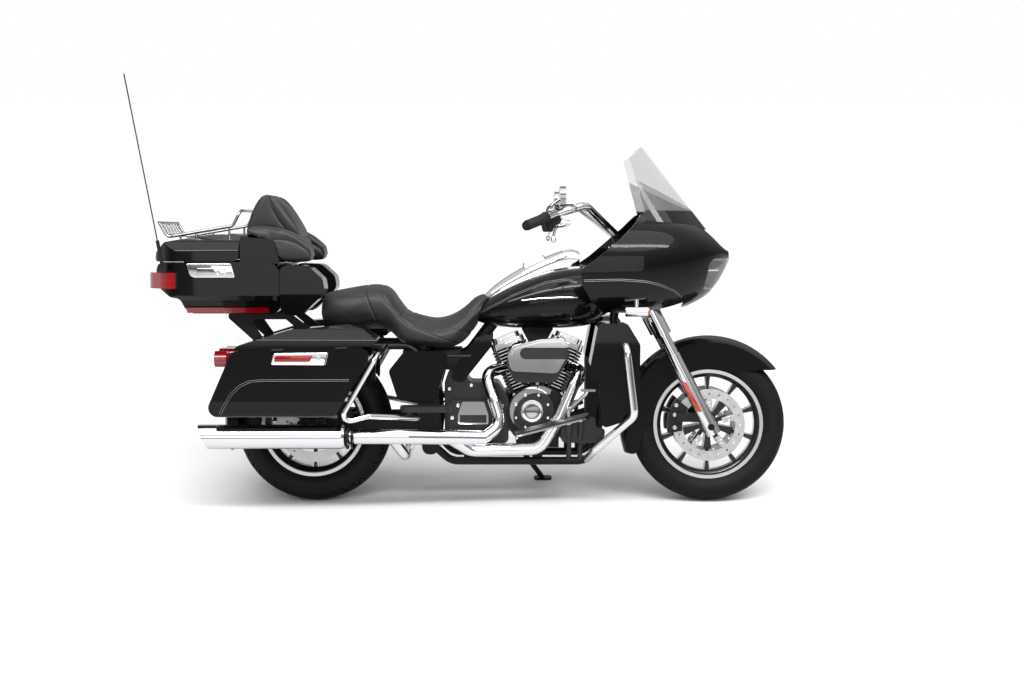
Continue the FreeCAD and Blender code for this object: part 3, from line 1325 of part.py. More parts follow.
def pushrod_tubes(case):
    centre = point(CRANK_X, 0, CRANK_Z)
    rods = []
    for lean in (-ENGINE_V_DEG, ENGINE_V_DEG):
        toward = -math.copysign(1, lean)
        for spread in (-PUSHROD_SPREAD, PUSHROD_SPREAD):
            x = CRANK_X + toward * PUSHROD_OFFSET + spread
            tube_part = rod(
                point(x, PUSHROD_Y, CRANK_Z + PUSHROD_START), point(
                    x, PUSHROD_Y, CRANK_Z + CYLINDER_TOP
                ), PUSHROD_RADIUS
            )
            rods.append(turned(tube_part, centre, Y_AXIS, lean))
    return [single.cut(case) for single in rods]


def air_cleaner(cylinders):
    start_x, inner, start_z = AIR_CLEANER_ORIGIN
    length, depth, height = AIR_CLEANER_SIZE
    outline = flat_outline(AIR_CLEANER_SHARES, start_x, start_z, length, height)
    outer = inner + depth
    edge = outer + AIR_CLEANER_EDGE
    shell = side_prism(outline, inner - AIR_CLEANER_BACK_DEPTH, edge, AIR_CLEANER_CORNER)
    inset = inset_outline(outline, [AIR_CLEANER_EDGE] * len(outline))
    cap = side_prism(inset, edge, outer, AIR_CLEANER_CORNER)
    back_outline = flat_outline(
 
            
                AIR_CLEANER_BACK_SHARES, start_x, start_z - AIR_CLEANER_BACK_DROP, length, height + AIR_CLEANER_BACK_DROP
    )
    back = side_prism(back_outline, inner, inner - AIR_CLEANER_BACK_DEPTH, AIR_CLEANER_CORNER)
    intake = across(INTAKE_RADIUS, CRANK_X, INTAKE_Z, -BARREL_RADIUS, inner).cut(cylinders)
    band_low = (start_x + AIR_CLEANER_BAND_START, AIR_CLEANER_BAND_Z)
    band_high = (start_x + length + OVERRUN, AIR_CLEANER_BAND_Z + AIR_CLEANER_BAND_HEIGHT)
    band_outline = [band_low, (band_high[0], band_low[1]), band_high, (band_low[0], band_high[1])]
    groove = side_prism(band_outline, outer, outer + AIR_CLEANER_BAND_DEPTH, AIR_CLEANER_BAND_HEIGHT / 2)
    return fused([shell, cap, back, intake]).cut(groove)


def gearbox():
    outline = flat_outline(
        GEARBOX_SHARES, GEARBOX_ORIGIN[0], GEARBOX_ORIGIN[2], GEARBOX_SIZE[0], GEARBOX_SIZE[2]
    )
    inner = GEARBOX_ORIGIN[1]
    outer = inner + GEARBOX_SIZE[1]
    cover_low = GEARBOX_COVER_ORIGIN
    cover_outline = [
        (cover_low[0], cover_low[2]), (cover_low[0] + GEARBOX_COVER_SIZE[0], cover_low[2]),
        (cover_low[0] + GEARBOX_COVER_SIZE[0], cover_low[2] + GEARBOX_COVER_SIZE[2]),
        (cover_low[0], cover_low[2] + GEARBOX_COVER_SIZE[2]),
    ]
    body = side_prism(outline, inner, outer, GEARBOX_CORNER)
    cover = side_prism(cover_outline, inner, inner + GEARBOX_COVER_SIZE[1], GEARBOX_CORNER)
    lid_outline = flat_outline(
        GEARBOX_LID_SHARES, GEARBOX_LID_ORIGIN[0], GEARBOX_LID_ORIGIN[2], GEARBOX_LID_SIZE[0], GEARBOX_LID_SIZE[
            2
        ]
    )
    lid = side_prism(
        lid_outline, GEARBOX_LID_ORIGIN[1], GEARBOX_LID_ORIGIN[1] + GEARBOX_LID_SIZE[1], SOFT_CORNER
    )
    drive = across(
        DRIVE_PULLEY_RADIUS, DRIVE_PULLEY_X, DRIVE_PULLEY_Z, outer - SOFT_CORNER, REAR_HUB_HALF + PULLEY_WIDTH
    )
    return fused([body, cover, lid, drive])


def battery_tray(frame_body):
    start_x = BATTERY_ORIGIN[0]
    low = BATTERY_ORIGIN[2]
    top = low + BATTERY_SIZE[2]
    pieces = [
        box((start_x, -PLATE_INNER_Y, low), (BATTERY_SIZE[0], 2 * PLATE_INNER_Y, BATTERY_SIZE[2])),
        box((start_x, -TRAY_HALF_WIDTH, top), (TRAY_REAR_LENGTH, 2 * TRAY_HALF_WIDTH, TRAY_HEIGHT)),
    ]
    for side in (-1, 1):
        pieces.append(box(
            (TRAY_FRONT_X, side * TRAY_FRONT_INNER_Y, top),
            (TRAY_FRONT_LENGTH, side * (TRAY_HALF_WIDTH - TRAY_FRONT_INNER_Y), TRAY_HEIGHT),
        ))
    return fused(pieces).cut(frame_body)


def coil_cover(tank):
    outline = flat_outline(COIL_SHARES, CRANK_X, COIL_Z, COIL_HALF_LENGTH, COIL_TOP - COIL_Z)
    return side_prism(outline, -COIL_HALF_WIDTH, COIL_HALF_WIDTH, 0).cut(tank)


def battery_and_cooler(frame_body, tank):
    cooler = box(COOLER_ORIGIN, COOLER_SIZE).cut(frame_body)
    return Part.makeCompound([battery_tray(frame_body), coil_cover(tank), cooler])


def primary_cover():
    start = PRIMARY_INNER_Y
    edge = start + PRIMARY_THICK - PRIMARY_EDGE
    end = start + PRIMARY_THICK

    def slab(trim, y_from, y_to):
        front = PRIMARY_FRONT_RADIUS - trim
        rear = PRIMARY_REAR_RADIUS - trim
        outline = [
            (PRIMARY_REAR_X, CRANK_Z - rear), (CRANK_X, CRANK_Z - front), (CRANK_X, CRANK_Z + front),
            (PRIMARY_REAR_X, CRANK_Z + rear),
        ]
        return fused([
            side_prism(outline, y_from, y_to, 0), across(front, CRANK_X, CRANK_Z, y_from, y_to),
            across(rear, PRIMARY_REAR_X, CRANK_Z, y_from, y_to),
        ])

    neck = across(PRIMARY_NECK_RADIUS, CRANK_X, CRANK_Z, CRANKCASE_HALF, start)
    return fused([slab(0, start, edge), slab(PRIMARY_EDGE, edge, end), neck])


def muffler():
    rear = point(MUFFLER_REAR_X, -MUFFLER_Y, MUFFLER_Z)
    front = point(MUFFLER_FRONT_X, -MUFFLER_Y, MUFFLER_Z)
    body = rod(rear, front - X_AXIS * MUFFLER_CONE, MUFFLER_RADIUS)
    cone = Part.makeCone(MUFFLER_RADIUS, HEADER_RADIUS, MUFFLER_CONE, front - X_AXIS * MUFFLER_CONE, X_AXIS)
    bore = rod(rear, rear + X_AXIS * MUFFLER_BORE_DEPTH, MUFFLER_BORE_RADIUS)
    slash = side_prism(
        [
            (MUFFLER_REAR_X, MUFFLER_Z - MUFFLER_RADIUS),
            (MUFFLER_REAR_X + MUFFLER_SLASH, MUFFLER_Z - MUFFLER_RADIUS),
            (MUFFLER_REAR_X, MUFFLER_Z + MUFFLER_RADIUS),
        ],
        -MUFFLER_Y - OVERRUN, -MUFFLER_Y + OVERRUN, 0,
    )
    return fused([body, cone]).cut(bore).cut(slash)


def mufflers():
    return pair(muffler())


def exhaust_pipes(solid_parts):
    rear = tube(in_box(REAR_PIPE_SHARES, HEADER_ORIGIN, HEADER_SIZE), HEADER_RADIUS, HEADER_BEND)
    front = tube(in_box(FRONT_PIPE_SHARES, HEADER_ORIGIN, HEADER_SIZE), HEADER_RADIUS, HEADER_BEND)
    crossover = tube(
        in_box(CROSSOVER_SHARES, CROSSOVER_ORIGIN, CROSSOVER_SIZE), CROSSOVER_RADIUS, CROSSOVER_BEND
    )
    shield_points = in_box(REAR_PIPE_SHARES[:SHIELD_POINTS], HEADER_ORIGIN, HEADER_SIZE)
    shield = tube(shield_points, SHIELD_RADIUS, HEADER_BEND)
    return trimmed(fused([rear, front, crossover, shield]), solid_parts)


def frame():
    seat_start = point(PIVOT_X, PLATE_INNER_Y - SEAT_RAIL_RADIUS / 2, SEAT_RAIL_Z - SEAT_RAIL_RISE)
    rail = tube(
        [
            seat_start, point(SEAT_RAIL_BEND_X, SEAT_RAIL_Y, SEAT_RAIL_Z),
            point(SEAT_RAIL_REAR_X, SEAT_RAIL_Y, SEAT_RAIL_Z),
        ],
        SEAT_RAIL_RADIUS, FRAME_BEND,
    )
    cradle = tube(in_box(CRADLE_SHARES, CRADLE_ORIGIN, CRADLE_SIZE), FRAME_TUBE_RADIUS, FRAME_BEND)
    outline = flat_outline(PLATE_SHARES, PLATE_ORIGIN[0], PLATE_ORIGIN[2], PLATE_SIZE[0], PLATE_SIZE[2])
    plate = side_prism(outline, PLATE_INNER_Y, PLATE_INNER_Y + PLATE_THICK, PLATE_CORNER)
    fender_stud = across(
        FENDER_STUD_RADIUS, FENDER_BOLT_X, SEAT_RAIL_Z, REAR_FENDER_HALF, SEAT_RAIL_Y
    )
    tab = box(
        (SHOCK_UPPER[0] - SHOCK_TAB, SEAT_RAIL_Y - SEAT_RAIL_RADIUS / 2, SHOCK_UPPER[1] - SHOCK_TAB),
        (2 * SHOCK_TAB, SEAT_RAIL_RADIUS, SEAT_RAIL_Z - SHOCK_UPPER[1] + SHOCK_TAB),
    )
    shock_stud = across(
        STUD_RADIUS, SHOCK_UPPER[0], SHOCK_UPPER[1], SEAT_RAIL_Y, SHOCK_Y + SHOCK_EYE_WIDTH / 2
    )
    side = fused([rail, cradle, plate, fender_stud, tab, shock_stud, bag_mounts()])
    backbone = tube(in_box(BACKBONE_SHARES, BACKBONE_ORIGIN, BACKBONE_SIZE), BACKBONE_RADIUS, FRAME_BEND)
    head = rod(steer_point(HEAD_BOTTOM_Z), steer_point(HEAD_TOP_Z), HEAD_RADIUS)
    cross_y = PLATE_INNER_Y + PLATE_THICK
    pieces = [
        side, mirrored(side), backbone, head,
        across(FRAME_TUBE_RADIUS, PIVOT_X, BACKBONE_ORIGIN[2], -cross_y, cross_y),
        across(SEAT_RAIL_RADIUS, SEAT_RAIL_REAR_X, SEAT_RAIL_Z, -SEAT_RAIL_Y, SEAT_RAIL_Y),
        box(FRONT_MOUNT_ORIGIN, FRONT_MOUNT_SIZE), fairing_bracket(),
    ]
    rail_y = CRADLE_ORIGIN[1] + CRADLE_SHARES[3][1] * CRADLE_SIZE[1]
    for middle, top in ((MOUNT_X, GEARBOX_ORIGIN[2]), (ENGINE_MOUNT_X, SUMP_BOTTOM)):
        low = CRADLE_ORIGIN[2] - FRAME_TUBE_RADIUS / 2
        pieces.append(box((middle - MOUNT_LENGTH / 2, -rail_y, low), (MOUNT_LENGTH, 2 * rail_y, top - low)))
    pin_start, pin_end = stand_pin_ends()
    pieces.append(rod(pin_start, pin_end, STAND_PIN_RADIUS))
    bore = rod(
        steer_point(HEAD_BOTTOM_Z) - STEER_DIRECTION * OVERRUN,
        steer_point(HEAD_TOP_Z) + STEER_DIRECTION * OVERRUN,
        STEM_RADIUS + RUNNING_GAP,
    )
    return fused(pieces).cut(bore)


def fairing_bracket():
    ahead = DASH_AHEAD / math.cos(math.radians(RAKE_DEG))
    outline = []
    for z, reach in (
        (BRACKET_LOW_Z, 0), (BRACKET_LOW_Z, ahead), (BRACKET_HIGH_Z, ahead), (BRACKET_HIGH_Z, 0)
    ):
        outline.append((steer_point(z).x + reach, z))
    return side_prism(outline, -BRACKET_HALF, BRACKET_HALF, 0)


def swingarm():
    low = PIVOT_Z - ARM_HEIGHT / 2
    rear_low = TYRE_RADIUS - ARM_HEIGHT / 2
    outline = [
        (-ARM_TAIL, rear_low), (PIVOT_X + PIVOT_RADIUS, low), (PIVOT_X + PIVOT_RADIUS, low + ARM_HEIGHT),
        (-ARM_TAIL, rear_low + ARM_HEIGHT),
    ]
    arm = side_prism(outline, ARM_INNER_Y, ARM_INNER_Y + ARM_THICK, ARM_CORNER)
    stud = across(STUD_RADIUS, SHOCK_LOWER[0], SHOCK_LOWER[1], ARM_INNER_Y, SHOCK_Y + SHOCK_EYE_WIDTH / 2)
    side = fused([arm, stud])
    pin_y = PLATE_INNER_Y + PLATE_THICK
    axle_y = ARM_INNER_Y + ARM_THICK
    return fused([
        side, mirrored(side), across(ARM_CROSS_RADIUS, ARM_CROSS_X, PIVOT_Z, -ARM_INNER_Y, ARM_INNER_Y),
        across(PIVOT_RADIUS, PIVOT_X, PIVOT_Z, -ARM_INNER_Y, ARM_INNER_Y),
        across(PIVOT_PIN_RADIUS, PIVOT_X, PIVOT_Z, -pin_y, pin_y),
        across(AXLE_RADIUS, 0, TYRE_RADIUS, -axle_y, axle_y),
    ])


def rear_shocks():
    low = point(SHOCK_LOWER[0], SHOCK_Y, SHOCK_LOWER[1])
    high = point(SHOCK_UPPER[0], SHOCK_Y, SHOCK_UPPER[1])
    start = SHOCK_Y - SHOCK_EYE_WIDTH / 2
    pieces = [rod(low, high, SHOCK_RADIUS)]
    for x, z in (SHOCK_LOWER, SHOCK_UPPER):
        pieces.append(across(SHOCK_EYE_RADIUS, x, z, start, start + SHOCK_EYE_WIDTH))
    body = fused(pieces)
    for x, z in (SHOCK_LOWER, SHOCK_UPPER):
        body = body.cut(
            across(STUD_RADIUS, x, z, start - OVERRUN, start + SHOCK_EYE_WIDTH / 2 + SHOCK_EYE_WIDTH / 2)
        )
    return pair(body)


def tank_body():
    return body_loft(
        TANK_SHARES, TANK_REAR_X, TANK_LENGTH, TANK_BOTTOM, TANK_HEIGHT, TANK_HALF_WIDTH, TANK_POWER, 0
    )


def fuel_tank(frame_body):
    tunnel_top = BACKBONE_ORIGIN[2] + BACKBONE_SHARES[1][2] * BACKBONE_SIZE[2] + BACKBONE_RADIUS + TUNNEL_GAP
    tunnel = box(
        (TANK_REAR_X - OVERRUN, -TUNNEL_HALF_WIDTH, TANK_BOTTOM - OVERRUN),
        (TANK_LENGTH + 2 * OVERRUN, 2 * TUNNEL_HALF_WIDTH, tunnel_top - TANK_BOTTOM + OVERRUN),
    )
    return tank_body().cut(tunnel).cut(frame_body)


def door_slab(length, half_width, low, high):
    outline = [
        (-length / 2, -half_width), (length / 2, -half_width), (length / 2, half_width),
        (-length / 2, half_width),
    ]
    slab = plan_prism(outline, low, high, SOFT_CORNER)
    return moved(turned(slab, CENTRE, Y_AXIS, FUEL_DOOR_SLOPE_DEG), FUEL_DOOR_X, 0, FUEL_DOOR_Z)


def tank_console(tank):
    body = body_loft(
        CONSOLE_SHARES, CONSOLE_REAR_X, CONSOLE_LENGTH, CONSOLE_BOTTOM, CONSOLE_HEIGHT, CONSOLE_HALF_WIDTH,
        CONSOLE_POWER, 0,
    )
    ring_length = FUEL_DOOR_LENGTH + SOFT_CORNER
    ring_half = FUEL_DOOR_HALF + SOFT_CORNER
    body = body.cut(door_slab(ring_length, ring_half, 0, FUEL_RING_DEPTH))
    pad = door_slab(ring_length, ring_half, -FUEL_RING_DEPTH, 0)
    return fused([body, pad]).cut(tank)


def fuel_door():
    low = FUEL_DOOR_GAP
    return door_slab(FUEL_DOOR_LENGTH, FUEL_DOOR_HALF, low, low + FUEL_DOOR_THICK)


def seat(solid_parts):
    body = body_loft(
        SEAT_SHARES, SEAT_REAR_X, SEAT_LENGTH, SEAT_BOTTOM, SEAT_HEIGHT, SEAT_HALF_WIDTH, SEAT_POWER, 0
    )
    return trimmed(body, solid_parts)


def side_covers():
    covers = fused([side_cover(), deflector(), deflector_strut()])
    return pair(covers)


def side_cover():
    outline = flat_outline(
        SIDE_COVER_SHARES, SIDE_COVER_ORIGIN[0], SIDE_COVER_ORIGIN[2], SIDE_COVER_SIZE[0], SIDE_COVER_SIZE[2]
    )
    start = PLATE_INNER_Y + PLATE_THICK
    return side_prism(outline, start, start + SIDE_COVER_THICK, SIDE_COVER_CORNER)


def deflector():
    outline = flat_outline(
        DEFLECTOR_SHARES, DEFLECTOR_ORIGIN[0], DEFLECTOR_ORIGIN[2], DEFLECTOR_SIZE[0], DEFLECTOR_SIZE[2]
    )
    start = PLATE_INNER_Y + PLATE_THICK
    return side_prism(outline, start, start + DEFLECTOR_THICK, DEFLECTOR_CORNER)


def deflector_strut():
    y = PLATE_INNER_Y + PLATE_THICK + DEFLECTOR_STRUT_RADIUS
    z = DEFLECTOR_ORIGIN[2] + DEFLECTOR_SIZE[2] / 2
    start_x = SIDE_COVER_ORIGIN[0] + SIDE_COVER_SIZE[0] / 2
    end_x = DEFLECTOR_ORIGIN[0] + DEFLECTOR_SIZE[0] / 2
    return rod(point(start_x, y, z), point(end_x, y, z), DEFLECTOR_STRUT_RADIUS)


def bag_outline():
    return flat_outline(BAG_SHARES, BAG_REAR_X, BAG_BOTTOM, BAG_LENGTH, BAG_HEIGHT)


def saddlebag():
    outline = bag_outline()
    front = flat_outline(BAG_FRONT_SHARES, BAG_INNER_Y, BAG_BOTTOM, BAG_WIDTH, BAG_HEIGHT)
    outer = side_prism(outline, BAG_INNER_Y, BAG_INNER_Y + BAG_WIDTH, BAG_CORNER)
    x_range = (BAG_REAR_X - OVERRUN, BAG_REAR_X + BAG_LENGTH + OVERRUN)
    outer = outer.common(front_prism(front, x_range[0], x_range[1], BAG_EDGE))
    open_top = -OVERRUN / 2
    inner_outline = inset_outline(outline, [BAG_WALL, BAG_WALL, open_top, BAG_WALL])
    inner_front = inset_outline(front, [BAG_WALL] * len(front))
    inner = side_prism(inner_outline, BAG_INNER_Y, BAG_INNER_Y + BAG_WIDTH, BAG_CORNER - BAG_WALL)
    inner = inner.common(front_prism(inner_front, x_range[0], x_range[1], BAG_EDGE - BAG_WALL))
    tub = outer.cut(inner)
    knuckles = bag_knuckles(0)
    latch = box(
        (BAG_LATCH_ORIGIN[0], BAG_INNER_Y + BAG_WIDTH, BAG_LATCH_ORIGIN[2]), BAG_LATCH_SIZE
    )
    return fused([tub, latch] + knuckles)


def bag_hinge_line():
    rear = bag_outline()[3]
    front = bag_outline()[2]
    y = BAG_INNER_Y + BAG_WIDTH + BAG_HINGE_OUT
    return point(rear[0], y, rear[1]), point(front[0], y, front[1])


def bag_knuckles(part_index):
    rear, front = bag_hinge_line()
    heading = front - rear
    length = heading.Length
    heading.normalize()
    pieces = []
    for share in BAG_HINGE_SHARES:
        start = rear + heading * (length * share + part_index * (BAG_HINGE_LENGTH / 2 + LID_GAP))
        end = start + heading * (BAG_HINGE_LENGTH / 2)
        pin_end = start + heading * (BAG_HINGE_LENGTH + LID_GAP)
        wall = BAG_INNER_Y + BAG_WIDTH - BAG_WALL / 2
        leaf_z = start.z + 2 * LID_GAP if part_index else start.z - 2 * BAG_HINGE_RADIUS
        pieces.append(box(
            (start.x, wall, leaf_z), (end.x - start.x, BAG_HINGE_OUT + BAG_WALL / 2, 2 * BAG_HINGE_RADIUS)
        ))
        pieces.append(
            rod(start, end, BAG_HINGE_RADIUS) if part_index else rod(start, pin_end, HINGE_PIN_RADIUS)
        )
        if not part_index:
            pieces.append(rod(start, end, BAG_HINGE_RADIUS))
    return pieces


def bag_lid_blank(inset, open_bottom):
    outline = flat_outline(LID_SHARES, LID_REAR_X, LID_BOTTOM, LID_LENGTH, LID_HEIGHT)
    front = flat_outline(LID_FRONT_SHARES, BAG_INNER_Y, LID_BOTTOM, BAG_WIDTH, LID_HEIGHT)
    insets = [inset] * len(outline)
    front_insets = [inset] * len(front)
    if open_bottom:
        insets[0] = -OVERRUN
        front_insets[0] = -OVERRUN
    side = side_prism(
        inset_outline(outline, insets), BAG_INNER_Y, BAG_INNER_Y + BAG_WIDTH, LID_CORNER - inset
    )
    x_from = LID_REAR_X - OVERRUN
    x_to = LID_REAR_X + LID_LENGTH + OVERRUN
    return side.common(front_prism(inset_outline(front, front_insets), x_from, x_to, LID_CORNER - inset))


def bag_lid():
    shell = bag_lid_blank(0, False).cut(bag_lid_blank(LID_WALL, True))
    rear, front = bag_hinge_line()
    return fused([shell] + bag_knuckles(1)).cut(rod(rear, front, HINGE_PIN_RADIUS + RUNNING_GAP))


def bag_mounts():
    pieces = []
    for x in BAG_MOUNT_XS:
        pieces.append(across(
            BAG_MOUNT_RADIUS, x, SEAT_RAIL_Z - BAG_MOUNT_DROP, SEAT_RAIL_Y, BAG_INNER_Y
        ))
        pieces.append(rod(
            point(x, SEAT_RAIL_Y, SEAT_RAIL_Z - BAG_MOUNT_DROP), point(
                x, SEAT_RAIL_Y, SEAT_RAIL_Z
            ), BAG_MOUNT_RADIUS
        ))
    return fused(pieces)


def bag_guards(solid_parts):
    loop = tube(in_box(BAG_GUARD_SHARES, BAG_GUARD_ORIGIN, BAG_GUARD_SIZE), BAG_GUARD_RADIUS, BAG_GUARD_BEND)
    return trimmed(pair(loop), solid_parts)


def box_outlines():
    side = flat_outline(BOX_SHARES, BOX_REAR_X, BOX_BOTTOM, BOX_LENGTH, BOX_HEIGHT)
    front = flat_outline(BOX_FRONT_SHARES, 0, BOX_BOTTOM, BOX_HALF_WIDTH, BOX_HEIGHT)
    bulkhead_start = BOX_REAR_X + BOX_LENGTH - BULKHEAD_LENGTH
    bulkhead = flat_outline(
        BULKHEAD_SHARES, bulkhead_start, BOX_BOTTOM + BOX_HEIGHT, BULKHEAD_LENGTH, BULKHEAD_HEIGHT
    )
    return side, front, bulkhead


def box_plan(z_from, z_to, inset):
    outline = flat_outline(BOX_PLAN_SHARES, BOX_REAR_X, 0, BOX_LENGTH, BOX_HALF_WIDTH)
    outline = inset_outline(outline, [inset] * len(outline))
    return plan_prism(outline, z_from, z_to, BOX_PLAN_CORNER - inset)


def top_box_blank():
    side, front, bulkhead = box_outlines()
    x_from = BOX_REAR_X - OVERRUN
    x_to = BOX_REAR_X + BOX_LENGTH + OVERRUN
    outer = side_prism(side, -BOX_HALF_WIDTH, BOX_HALF_WIDTH, BOX_CORNER)
    outer = outer.common(front_prism(front, x_from, x_to, 0))
    outer = outer.common(box_plan(BOX_BOTTOM, BOX_BOTTOM + BOX_HEIGHT, 0))
    hood = side_prism(bulkhead, -BULKHEAD_HALF_WIDTH, BULKHEAD_HALF_WIDTH, SOFT_CORNER)
    return fused([outer, hood])


def top_box(blank):
    side, front, bulkhead = box_outlines()
    x_from = BOX_REAR_X - OVERRUN
    x_to = BOX_REAR_X + BOX_LENGTH + OVERRUN
    top = BOX_BOTTOM + BOX_HEIGHT
    hood_insets = [-OVERRUN / 2] + [BOX_WALL] * (len(bulkhead) - 1)
    hood_inner = side_prism(
        inset_outline(
            bulkhead, hood_insets
        ), BOX_WALL - BULKHEAD_HALF_WIDTH, BULKHEAD_HALF_WIDTH - BOX_WALL, 0
    )
    inner_side = inset_outline(side, [BOX_WALL, BOX_WALL, -OVERRUN] + [BOX_WALL] * (len(side) - 3))
    inner_front = inset_outline(front, [BOX_WALL] * len(front))
    inner = side_prism(inner_side, -BOX_HALF_WIDTH, BOX_HALF_WIDTH, BOX_CORNER - BOX_WALL)
    inner = inner.common(front_prism(inner_front, x_from, x_to, 0))
    inner = inner.common(box_plan(BOX_BOTTOM, top + OVERRUN, BOX_WALL))
    hood_start = bulkhead[0][0]
    shelf = box(
        (hood_start, -BOX_HALF_WIDTH, top - BOX_WALL), (BULKHEAD_LENGTH, 2 * BOX_HALF_WIDTH, 2 * OVERRUN)
    )
    cavity = fused([inner.cut(shelf), hood_inner])
    tub = blank.cut(cavity)
    return fused([tub] + box_knuckles(0))


def box_knuckles(part_index):
    y = BOX_HALF_WIDTH + BOX_HINGE_OUT
    z = BOX_BOTTOM + BOX_HEIGHT
    pieces = []
    for share in BOX_HINGE_SHARES:
        start = BOX_LID_REAR_X + BOX_LID_LENGTH * share + part_index * (BOX_HINGE_LENGTH / 2 + LID_GAP)
        end = start + BOX_HINGE_LENGTH / 2
        pieces.append(rod(point(start, y, z), point(end, y, z), BOX_HINGE_RADIUS))
        if not part_index:
            pin_end = start + BOX_HINGE_LENGTH + LID_GAP
            pieces.append(rod(point(start, y, z), point(pin_end, y, z), HINGE_PIN_RADIUS))
        low = z + 2 * BOX_LID_GAP if part_index else z - 2 * BOX_HINGE_RADIUS
        pieces.append(box(
            (start, BOX_HALF_WIDTH - BOX_WALL / 2, low), (
                end - start, BOX_HINGE_OUT + BOX_WALL / 2, 2 * BOX_HINGE_RADIUS
            )
        ))
    return pieces


def box_lid_blank(inset):
    base = BOX_BOTTOM + BOX_HEIGHT + BOX_LID_GAP
    side = flat_outline(BOX_LID_SHARES, BOX_LID_REAR_X, base, BOX_LID_LENGTH, BOX_LID_HEIGHT)
    front = flat_outline(BOX_LID_FRONT_SHARES, 0, base, BOX_HALF_WIDTH, BOX_LID_HEIGHT)
    side_insets = [inset] * len(side)
    front_insets = [inset] * len(front)
    if inset:
        side_insets[0] = -OVERRUN
        front_insets[0] = -OVERRUN
    solid = side_prism(
        inset_outline(side, side_insets), -BOX_HALF_WIDTH, BOX_HALF_WIDTH, BOX_LID_CORNER - inset
    )
    x_from = BOX_LID_REAR_X - OVERRUN
    x_to = BOX_LID_REAR_X + BOX_LID_LENGTH + OVERRUN
    solid = solid.common(
        front_prism(inset_outline(front, front_insets), x_from, x_to, BOX_LID_CORNER - inset)
    )
    return solid.common(box_plan(base - OVERRUN, base + 2 * BOX_LID_HEIGHT, inset))


def top_box_lid():
    base = BOX_BOTTOM + BOX_HEIGHT + BOX_LID_GAP
    above = box(
        (BOX_LID_REAR_X - OVERRUN, -BOX_HALF_WIDTH * 2, base), (
            BOX_LID_LENGTH + 2 * OVERRUN, BOX_HALF_WIDTH * 4, OVERRUN * 4
        )
    )
    shell = box_lid_blank(0).common(above).cut(box_lid_blank(BOX_LID_WALL))
    y = BOX_HALF_WIDTH + BOX_HINGE_OUT
    z = BOX_BOTTOM + BOX_HEIGHT
    end_x = BOX_LID_REAR_X + BOX_LID_LENGTH
    bore = rod(point(BOX_LID_REAR_X, y, z), point(end_x, y, z), HINGE_PIN_RADIUS + RUNNING_GAP)
    return fused([shell] + box_knuckles(1)).cut(bore)


def luggage_rack(lid_blank):
    rail_end_x = RACK_REAR_X + RACK_RAIL_LENGTH
    rail_end_z = RACK_REAR_Z + RACK_RAIL_RISE
    hoop_x = rail_end_x + RACK_HOOP_LENGTH
    hoop_z = rail_end_z + RACK_HOOP_RISE
    wing_x = RACK_REAR_X - RACK_WING_BACK
    wing_z = RACK_REAR_Z + RACK_WING_RISE
    right = [
        point(wing_x, -RACK_HALF_WIDTH, wing_z), point(RACK_REAR_X, -RACK_HALF_WIDTH, RACK_REAR_Z),
        point(rail_end_x, -RACK_HALF_WIDTH, rail_end_z), point(hoop_x, -RACK_HALF_WIDTH, hoop_z),
    ]
    left = [point(corner.x, -corner.y, corner.z) for corner in reversed(right)]
    pieces = [
        tube(right + left, RACK_RADIUS, RACK_BEND),
        across(RACK_RADIUS, wing_x, wing_z, -RACK_HALF_WIDTH, RACK_HALF_WIDTH),
        across(RACK_RADIUS, RACK_REAR_X, RACK_REAR_Z + RACK_RADIUS, -RACK_HALF_WIDTH, RACK_HALF_WIDTH),
    ]
    base = BOX_BOTTOM + BOX_HEIGHT + BOX_LID_GAP
    for share in RACK_POST_SHARES:
        x = RACK_REAR_X + RACK_RAIL_LENGTH * share
        z = RACK_REAR_Z + RACK_RAIL_RISE * share
        for y in (-RACK_HALF_WIDTH, RACK_HALF_WIDTH):
            pieces.append(rod(point(x, y, base + 2 * BOX_LID_WALL), point(x, y, z), RACK_POST_RADIUS))
    for index in range(1, RACK_SLATS):
        y = RACK_HALF_WIDTH * (2 * index / RACK_SLATS - 1)
        pieces.append(rod(point(RACK_REAR_X, y, RACK_REAR_Z), point(wing_x, y, wing_z), RACK_POST_RADIUS))
    return fused(pieces).cut(lid_blank)


def top_box_support():
    outline = flat_outline(
        SUPPORT_SHARES, SUPPORT_ORIGIN[0], SUPPORT_ORIGIN[2], SUPPORT_SIZE[0], SUPPORT_SIZE[2]
    )
    window = flat_outline(
        SUPPORT_WINDOW_SHARES, SUPPORT_ORIGIN[0], SUPPORT_ORIGIN[2], SUPPORT_SIZE[0], SUPPORT_SIZE[2]
    )
    start = SUPPORT_Y - SUPPORT_THICK / 2
    plate = side_prism(outline, start, start + SUPPORT_THICK, SUPPORT_CORNER)
    return plate.cut(side_prism(window, start, start + SUPPORT_THICK, SUPPORT_CORNER))


def speaker_pods():
    side = flat_outline(POD_SHARES, POD_REAR_X, POD_BOTTOM, POD_LENGTH, POD_HEIGHT)
    front = flat_outline(POD_FRONT_SHARES, POD_INNER_Y, POD_BOTTOM, POD_OUTER_Y - POD_INNER_Y, POD_HEIGHT)
    pod = side_prism(side, POD_INNER_Y, POD_OUTER_Y, POD_CORNER)
    pod = pod.common(front_prism(front, POD_REAR_X, POD_REAR_X + POD_LENGTH, SOFT_CORNER))
    return pair(pod)


